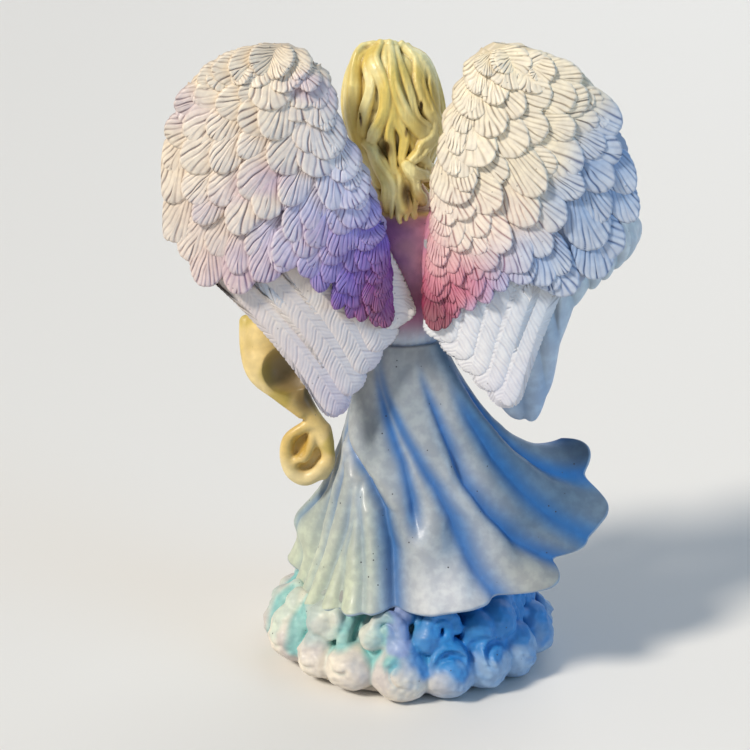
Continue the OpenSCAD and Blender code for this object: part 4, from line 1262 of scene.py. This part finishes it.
def head():
    """The head with its closed eyes, and the neck and shoulders down into the bodice."""
    clay = Clay((-16, -17, 139), (22, 15, 198), 0.2, 4.0)
    at = head_point
    clay.blob(at(0, -1.2, 3.4), (9.3, 10.4, 10.2))
    clay.blob(at(0, 2.6, -2.6), (7.5, 7.3, 9.2))
    clay.blob(at(0, 3.0, 4.6), (7.8, 7.2, 7.2))
    clay.blob(at(0, 6.0, -10.6), (3.2, 3.0, 2.7))
    for k in (-1, 1):
        clay.rod(at(6.1 * k, -0.5, -4.6), at(1.4 * k, 5.2, -10.6), 2.1, 2.2)
        clay.blob(at(4.1 * k, 5.9, -3.4), (3.3, 3.2, 3.4))
        clay.rod(at(1.5 * k, 9.1, 2.2), at(4.9 * k, 7.7, 2.5), 0.95, 0.8)
        clay.blob(at(3.45 * k, 7.5, 0.0), (2.25, 2.0, 1.75))
        clay.blob(at(1.15 * k, 10.45, -4.9), (0.85, 1.0, 0.7))
    nose = [at(0, 9.3, 2.0), at(0, 9.9, -0.5), at(0, 11.0, -3.2), at(0, 11.6, -4.5)]
    clay.strand(nose, [0.85, 0.72, 0.85, 1.0])
    clay.blob(at(0, 8.3, -7.8), (2.8, 1.4, 2.0))
    upper_lip = [(-1.9, 9.35, -7.45), (-0.7, 10.15, -7.15), (0, 10.15, -7.3), (0.7, 10.15, -7.15)]
    clay.strand([at(*p) for p in (*upper_lip, (1.9, 9.35, -7.45))], [0.25, 0.5, 0.42, 0.5, 0.25])
    clay.strand([at(-1.35, 9.5, -8.1), at(0, 10.1, -8.45), at(1.35, 9.5, -8.1)], [0.35, 0.62, 0.35])
    clay.rod(at(0, -2.6, -7), (4.2, 0.4, 157), 4.9, 5.2)
    clay.rod((4.2, 0.4, 158), (4, 0.4, 151.5), 5.2, 7.6)
    clay.blob((3.2, 0.8, 139), (17.6, 12.6, 16.2))
    for k in (-1, 1):
        clay.rod((4 + 2.6 * k, 1.6, 162), (4 + 9 * k, 1.4, 152.6), 2.2, 1.8)
        clay.rod((4 + 1.6 * k, -6.3, 151.4), (4 + 8.5 * k, -2.9, 152.6), 0.8, 0.5)
        clay.rod(at(4.2 * k, -3.4, -6), (4 + 1.6 * k, -4.2, 154.5), 1.2, 1.1)
        lid = [at(1.5 * k, 8.9, -0.5), at(3.4 * k, 9.55, -1.1), at(5.3 * k, 8.1, -0.65)]
        clay.strand(lid, [0.14, 0.17, 0.14], carve=True)
    parting = [(-2.1, 9.9, -7.45), (-0.7, 10.8, -7.75), (0, 10.8, -7.8), (0.7, 10.8, -7.75)]
    clay.strand([at(*p) for p in (*parting, (2.1, 9.9, -7.45))], [0.14, 0.17, 0.17, 0.17, 0.14], carve=True)
    verts, faces, depth = clay.mesh(2, floor=140.9)
    c = np.broadcast_to(srgb(0.95, 0.82, 0.74), verts.shape).copy()
    # The face is painted in its own plane: to the left and up from the head's centre
    axes = np.stack([at(1, 0, 0) - HEAD, at(0, 1, 0) - HEAD, at(0, 0, 1) - HEAD])
    local = (verts - HEAD) @ np.linalg.inv(axes)
    plane = np.stack([local[:, 0], 0 * local[:, 0], local[:, 2]], -1)
    facing = smooth(3.5, 5.5, local[:, 1])

    def stroke(points, inner, outer):
        return facing * smooth(outer, inner, to_line(plane, [(x, 0, z) for x, z in points]))

    for k in (-1, 1):
        brow = [(1.7 * k, 3.2), (3.0 * k, 3.9), (4.4 * k, 3.9), (5.9 * k, 3.0)]
        lashes = ((1.6, -0.5), (2.5, -0.95), (3.4, -1.1), (4.4, -0.95), (5.3, -0.5), (5.8, -0.15))
        lashes = [(x * k, z) for x, z in lashes]
        lid = np.linalg.norm((plane - (3.4 * k, 0, 0.3)) / (2.3, 1, 1.2), axis=1)
        c = coats(
            c,
            ((0.92, 0.6, 0.54), 0.45 * facing * spot(plane, (5.0 * k, 0, -4.2), (2.6, 1, 2.0), 2)),
            ((0.84, 0.67, 0.66), 0.4 * facing * smooth(1.3, 0.6, lid)),
            ((0.56, 0.4, 0.2), 0.7 * stroke(brow, 0.12, 0.42)),
            ((0.26, 0.16, 0.1), 0.9 * stroke(lashes, 0.12, 0.32)),
        )
    rose = (0.8, 0.44, 0.41)
    upper = stroke([(-1.8, -7.6), (-0.7, -7.25), (0, -7.4), (0.7, -7.25), (1.8, -7.6)], 0.3, 0.55)
    lower = stroke([(-1.1, -8.15), (0, -8.4), (1.1, -8.15)], 0.35, 0.65)
    between = stroke([(-2.1, -7.6), (-0.8, -7.8), (0, -7.75), (0.8, -7.8), (2.1, -7.6)], 0.06, 0.2)
    c = coats(c, (rose, 0.75 * upper), (rose, 0.65 * lower), ((0.5, 0.22, 0.2), 0.75 * between))
    # Paint washes and painted shade in the recesses.
    wash = np.clip(depth * 1.3 - 0.3, 0, 1) * 0.5
    make("face_and_neck", verts, faces, skin_paint, c, wash, ["head"])


def ridged(clay, p, radius, r):
    """A lock with two finer strands standing out along it."""
    clay.strand(p, radius)
    t = np.linspace(0, 1, len(p))
    out = unit(p - np.stack([np.full(len(p), 5.0), np.full(len(p), 0.0), np.minimum(p[:, 2], 184)], -1))
    side = unit(np.cross(np.gradient(p, axis=0), out))
    for k in (-0.5, 0.45):
        turn = k + 0.25 * np.sin(t * r.uniform(4, 9) + r.uniform(0, 6))
        stand = 0.78 + 0.2 * np.sin(t * r.uniform(3, 7) + r.uniform(0, 6))
        toward = side * turn[:, None] + out * np.sqrt(1 - turn**2)[:, None]
        clay.strand(p + toward * (radius * stand)[:, None], 0.4 * radius)


def lock(path, fat, wobble, r):
    """A lock of hair: the path waved a little, thin at both ends."""
    t = np.linspace(0, 1, 26)
    p = spline(path, t)
    side = unit(np.cross(np.gradient(p, axis=0), p - np.array([5.0, 0.0, 175.0])))
    p = p + side * (wobble * np.sin(t * r.uniform(6, 11) + r.uniform(0, 6)) * smooth(0, 0.3, t))[:, None]
    radius = fat * (0.5 + 0.5 * smooth(0, 0.3, t)) * (1 - 0.45 * smooth(0.7, 1, t))
    return p, radius


# The back of the hair: height, middle in X, half width, and how far back it comes
HAIR = [
    (147, 1.6, 5, 15.4), (156, 2.4, 7, 15), (162, 3, 9, 14.2), (168, 3.8, 12, 13.4), (174, 4.2, 14.2, 13.6),
    (180, 4.5, 14.4, 13.6), (187, 5.9, 13.2, 12.8), (192, 6.7, 11.2, 11), (195.5, 7.1, 9.7, 8.6),
    (198.5, 6.9, 6.8, 5),
]
# Tresses down the back: how far each stands out, its radius, and its way down in X and Z
TRESSES = [
    (-0.4, 2.1, [(11, 199), (13.8, 197), (15.8, 191), (16.6, 181), (15.4, 174.5), (13, 168)]),
    (-0.6, 1.7, [(10.4, 199), (12.8, 193), (11.4, 186.5), (13, 179), (13.6, 173), (12, 167)]),
    (-0.2, 2.3, [(8.8, 199.4), (10.2, 194.3), (7.6, 187.3), (7.2, 179.5), (10.4, 173.6), (12.2, 169.4)]),
    (-0.4, 1.7, [(7.4, 199.4), (7.8, 194), (5.2, 187), (4.8, 180), (6.2, 174.5), (5.0, 168), (4.2, 162.6)]),
    (-0.1, 2.1, [(6, 199.4), (5.2, 191.2), (3.2, 184.8), (0.9, 178.3), (-4.2, 172.8), (-6, 170.4)]),
    (-0.5, 1.7, [(4.6, 199.2), (2.6, 192), (0.8, 185.5), (-1.6, 179), (-5.6, 174.6), (-7.2, 171)]),
    (-0.3, 1.6, [(6.4, 199), (6.7, 191), (4.4, 184), (3.2, 177.6), (1.6, 173), (2.6, 166.5), (0.8, 161.6)]),
    (-0.2, 2.0, [(2.6, 199), (-1.8, 193.6), (-2.6, 187.2), (-5.2, 179.4), (-7.4, 174), (-6.4, 168)]),
    (-0.4, 1.9, [(1, 198.4), (-4, 192), (-5.6, 185), (-7.6, 178), (-8.4, 171), (-7, 164.5)]),
    (-0.8, 1.5, [(3, 175), (-0.6, 171.4), (-1.4, 166), (-0.8, 160)]),
    (1.0, 2.1, [(13, 171), (10.6, 168), (8.6, 164), (6.4, 159), (6.6, 154), (6.2, 149.4)]),
    (0.4, 1.0, [(11.4, 171.6), (7.4, 166), (4.8, 160), (5.2, 154), (5, 148.6)]),
    (0.2, 1.4, [(14.4, 170), (12.4, 165), (9.8, 160), (8.8, 154.6), (7.6, 150.4)]),
    (1.0, 2.1, [(-7, 174.5), (-4.8, 171), (-2.2, 168), (0.6, 164.4)]),
    (2.2, 1.8, [(1, 165.4), (-2.6, 162), (-5.4, 159.6), (-7.6, 156)]),
    (1.2, 1.5, [(-1.4, 168), (-4.4, 165.4), (-6.8, 161.6), (-9, 158)]),
    (1.8, 1.7, [(1.6, 165), (-1.4, 159.8), (-3.2, 154.4), (-4, 148)]),
    (-0.8, 1.3, [(3.4, 163), (3.4, 156), (2.6, 147.6)]),
    (-1.4, 1.3, [(1.6, 162), (1.2, 156), (0.6, 148.4)]),
    (-0.8, 1.2, [(-0.8, 159), (-1.4, 153), (-1.8, 147.6)]),
    (2.6, 0.9, [(1.2, 165.6), (-2.6, 163), (-6, 161.4), (-8.4, 158.6)]),
    (0.6, 1.1, [(-5.4, 176), (-3.6, 171.6), (-1, 167.4), (1.2, 163.4)]),
]
# Slits between the tresses: X, Z and half height
SLITS = [(9.9, 184.2, 2.6), (14.4, 177.6, 2.8), (-3.4, 181.8, 2.2), (-4.2, 190.6, 2.0), (1.0, 174.4, 1.8)]


def hair_back(x, z):
    """How far back the hair comes at a place on the back of the head."""
    height, *profile = zip(*HAIR)
    middle, half, back = (np.interp(z, height, column) for column in profile)
    return 0.5 + (back - 0.5) * np.sqrt(np.clip(1 - ((x - middle) / half) ** 2, 0.02, 1))


def tress(clay, lift, fat, way, r):
    """A wavy tress on the back of the head, ridged with finer strands."""
    t = np.linspace(0, 1, 30)
    x, z = spline(way, t).T
    x = x + 0.35 * np.sin(t * r.uniform(9, 14) + r.uniform(0, 6)) * smooth(0, 0.2, t)
    y = hair_back(x, z) + lift - 0.6
    radius = fat * (0.55 + 0.45 * smooth(0, 0.25, t)) * (1 - 0.5 * smooth(0.72, 1, t))
    ridged(clay, np.stack([x, y, z], -1), radius, r)


def hair():
    """The hair: a solid under it, locks at the sides and round the face, and tresses down the back."""
    clay = Clay((-12, -17, 143), (22, 21, 203), 0.25, 5.0)
    r = np.random.default_rng(31)
    crown = np.array([6.0, 1.5, 198.6])
    clay.blob((5.3, 0.8, 185.5), (12.0, 11.3, 12.0))
    clay.blob((4.8, 3.4, 175), (11.6, 8.8, 11))
    clay.blob((3.4, 8, 165), (5.4, 3.6, 8.5))
    clay.rod((3.2, 11, 162), (1.8, 14.4, 152), 2.8, 1.8)
    # Locks down both sides of the head
    for i in range(8):
        k = 1 if i % 2 else -1
        a = math.radians(k * (92 - 10 * (i // 2)))
        wide, back = math.sin(a), math.cos(a)
        path = [
            crown + (1.4 * wide, 0.8 * back - 0.4, r.uniform(-0.6, 0.2)),
            (5.9 + 9.4 * wide, 1 + 7.8 * back, 194.6),
            (5.4 + 12.6 * wide, 0.8 + 10.9 * back, 185),
            (4.6 + 12.6 * wide, 2 + 11.2 * back, 175.5),
            (4.2 + 9.6 * wide, 5 + 8.0 * back, 166.5),
            (3.2 + 5.6 * wide, 10 + 3.2 * back, 158.5),
        ]
        ridged(clay, *lock(path, r.uniform(1.7, 2.2), 0.7, r), r)
    for lift, fat, way in TRESSES:
        tress(clay, lift, fat, way, r)
    # The parting and the locks that frame the face
    for k in (-1, 1):
        for j in range(7):
            s = j / 6
            path = [
                head_point(0.25 * k, 3.5 + 3.6 * s, 14.4 - 2.6 * s * s),
                head_point((4.6 - 0.3 * s) * k, 4.2 + 4.8 * s, 12.6 - 3.2 * s),
                head_point((8.6 - 0.8 * s) * k, 2.0 + 5.6 * s, 7.5 - 1.5 * s),
                head_point((11.0 - 1.4 * s) * k, -0.5 + 5.6 * s, -0.5),
                head_point((10.8 - 1.2 * s) * k, -1.5 + 5.4 * s, -8),
                (5 + (9.6 + 1.2 * s) * k, -1.2 - 5.2 * s, 165 - 1.5 * s),
                (5 + (9.2 + 1.6 * s) * k, -2.4 - 6.0 * s, 158 - 4 * s + r.uniform(-1.5, 1.5)),
            ]
            ridged(clay, *lock(path, r.uniform(1.1, 1.5), 0.6, r), r)
        clay.blob(head_point(8.6 * k, -2, 3), (3.2, 6, 8.5))
        clay.rod(head_point(9.6 * k, -2, -4), (5 + 9.8 * k, -3.5, 160), 2.6, 1.6)
    clay.blob((7.2, 15.6, 169.6), (1.8, 4, 2.5), 20, carve=True)
    clay.blob((0.6, 20, 157.4), (1.6, 4.4, 3.4), carve=True)
    for x, z, tall in SLITS:
        t = np.linspace(-1, 1, 9)
        slit = [(x + 0.5 * s * s, hair_back(x, z + tall * s) + 0.2, z + tall * s) for s in t]
        clay.strand(slit, 0.15 + 0.4 * (1 - t**2), carve=True)
    verts, faces, depth = clay.mesh(3)
    gold = 0.5 + 0.5 * ripple(verts * (1, 1, 0.35), 9, 71)
    c = stops(gold, [(0, (0.89, 0.79, 0.42)), (1, (0.96, 0.91, 0.66))])
    # Paint washes and painted shade in the recesses, deepest in the slits between tresses and the two holes,
    # in olive brown.
    wash = np.clip(depth * 2.2 + 0.15, 0, 1)
    for x, z, tall in SLITS:
        wash = np.maximum(wash, 1.2 * spot(verts, (x, hair_back(x, z), z), (0.55, 1.8, 0.85 * tall), 4))
    for at, size in (((7.2, 13, 169.6), (2.2, 4, 2.9)), ((0.6, 16, 156.8), (2.2, 4, 4.4))):
        wash = np.maximum(wash, 1.2 * spot(verts, at, size, 3))
    c = blend(c, srgb(0.4, 0.27, 0.03), 0.6 * np.clip(wash * 1.2 - 0.25, 0, 1))
    make("hair_locks", verts, faces, hair_paint, c, np.clip(wash * 0.8, 0, 1), ["hair"])


def hand(name, wrist, middle, thumb, node):
    """A relaxed hand, palm up: wrist to middle finger tip along one line, the thumb on the side given."""
    wrist, middle = np.asarray(wrist, float), np.asarray(middle, float)
    d = middle - wrist
    length = np.linalg.norm(d)
    d /= length
    across = np.cross(d, (0, 0, 1))
    across /= np.linalg.norm(across)
    up = np.cross(across, d)

    def at(a, side, rise):
        return wrist + d * a * length + across * side * thumb + up * rise

    low, high = np.minimum(wrist, middle) - 7, np.maximum(wrist, middle) + 7
    clay = Clay(low, high, 0.2, 4.0)
    clay.rod(at(-0.25, 0, 0), at(0.08, 0, 0), 2.3, 1.9)
    for side in (-1.9, -0.65, 0.65, 1.9):
        clay.rod(at(0.1, side * 0.6, 0), at(0.47, side * 1.05, 0.1 - 0.06 * side * side), 1.5, 1.15)
    for side, reach, spread in ((-2.6, 0.82, -3.5), (-0.95, 0.95, -1.2), (0.75, 1.0, 0.9), (2.3, 0.93, 3.0)):
        curl = 0.9 - 0.1 * side
        knuckle = at(0.46, side * 0.86, 0)
        bend = at(0.46 + 0.5 * (reach - 0.46), (side + spread) / 2, 0.25)
        clay.strand([knuckle, bend, at(reach, spread, curl)], [0.95, 0.82, 0.6])
    clay.strand([at(0.12, 1.5, 0), at(0.3, 3.3, 0.6), at(0.5, 4.3, 1.4)], [1.3, 1.0, 0.7])
    verts, faces, depth = clay.mesh(2)
    tips = smooth(0.75, 1.0, (verts - wrist) @ d / length)
    c = blend(np.broadcast_to(srgb(0.95, 0.82, 0.74), verts.shape), srgb(0.92, 0.68, 0.62), 0.5 * tips)
    # Paint washes and painted shade in the recesses.
    make(name, verts, faces, skin_paint, c, np.clip(depth * 1.2 - 0.2, 0, 1) * 0.55, [node])


head()
hair()
hand("right_palm_and_fingers", (-68.4, -9.0, 139.5), (-67, -27.4, 143), -1, "right_hand")
hand("left_palm_and_fingers", (30.2, -22.6, 121.5), (29, -38.4, 126), 1, "left_hand")

# ---- the hidden hardware, the table, the light and the camera ----

steel = painted("pin_steel", 0.35, mottle=0.08, mottle_size=1.2, grain=0.15)
felt = painted("felt", 0.9, mottle=0.3, mottle_size=0.8, grain=0.8)
for name in ("felt_pad", "body_dowel", "wing_pins", "neck_pin"):
    finish, colour = (felt, (0.2, 0.22, 0.25)) if name == "felt_pad" else (steel, (0.7, 0.71, 0.73))
    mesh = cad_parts[name].data
    layer = mesh.color_attributes.new("paint", "FLOAT_COLOR", "POINT")
    rgba = np.tile(np.append(srgb(*colour), 1.0), len(mesh.vertices))
    layer.data.foreach_set("color", rgba.astype(np.float32))
    mesh.materials.clear()
    mesh.materials.append(finish)

bpy.ops.mesh.primitive_plane_add(size=60)
table = bpy.context.object
table.name = "table"
white = bpy.data.materials.new("table_white")
white.use_nodes = True
board = white.node_tree.nodes["Principled BSDF"]
board.inputs["Base Color"].default_value = (0.8, 0.78, 0.75, 1)
board.inputs["Roughness"].default_value = 0.6
table.data.materials.append(white)


def sun(name, toward, strength, colour, softness):
    """A distant light shining from that direction; softness is its width in degrees."""
    light = bpy.data.lights.new(name, "SUN")
    light.energy = strength
    light.color = colour
    light.angle = math.radians(softness)
    holder = bpy.data.objects.new(name, light)
    holder.rotation_euler = Vector(toward).to_track_quat("Z", "Y").to_euler()
    bpy.context.scene.collection.objects.link(holder)


sun("key", (0.7, 0.5, 0.75), 3.05, (1.0, 0.93, 0.82), 12)
sun("cool_fill", (-0.9, 0.45, 0.3), 0.9, (0.2, 0.56, 1.0), 35)
sun("front_fill", (-0.35, -0.8, 0.5), 0.8, (0.9, 0.95, 1.0), 60)

world = bpy.data.worlds.new("studio")
world.use_nodes = True
world.node_tree.nodes["Background"].inputs[0].default_value = (0.82, 0.9, 1.0, 1)
world.node_tree.nodes["Background"].inputs[1].default_value = 0.27
bpy.context.scene.world = world
bpy.context.scene.view_settings.view_transform = "Standard"

camera = bpy.data.objects.new("camera", bpy.data.cameras.new("camera"))
bpy.context.scene.collection.objects.link(camera)
camera.location = (0, 0.43, 0.229)
camera.data.lens = 67.2
camera.data.sensor_width = 36
yaw, pitch = math.radians(1.407), math.radians(17.3)
ahead = Vector((math.sin(yaw) * math.cos(pitch), -math.cos(yaw) * math.cos(pitch), -math.sin(pitch)))
camera.rotation_euler = ahead.to_track_quat("-Z", "Y").to_euler()
camera.data.clip_start = 0.01
bpy.context.scene.camera = camera
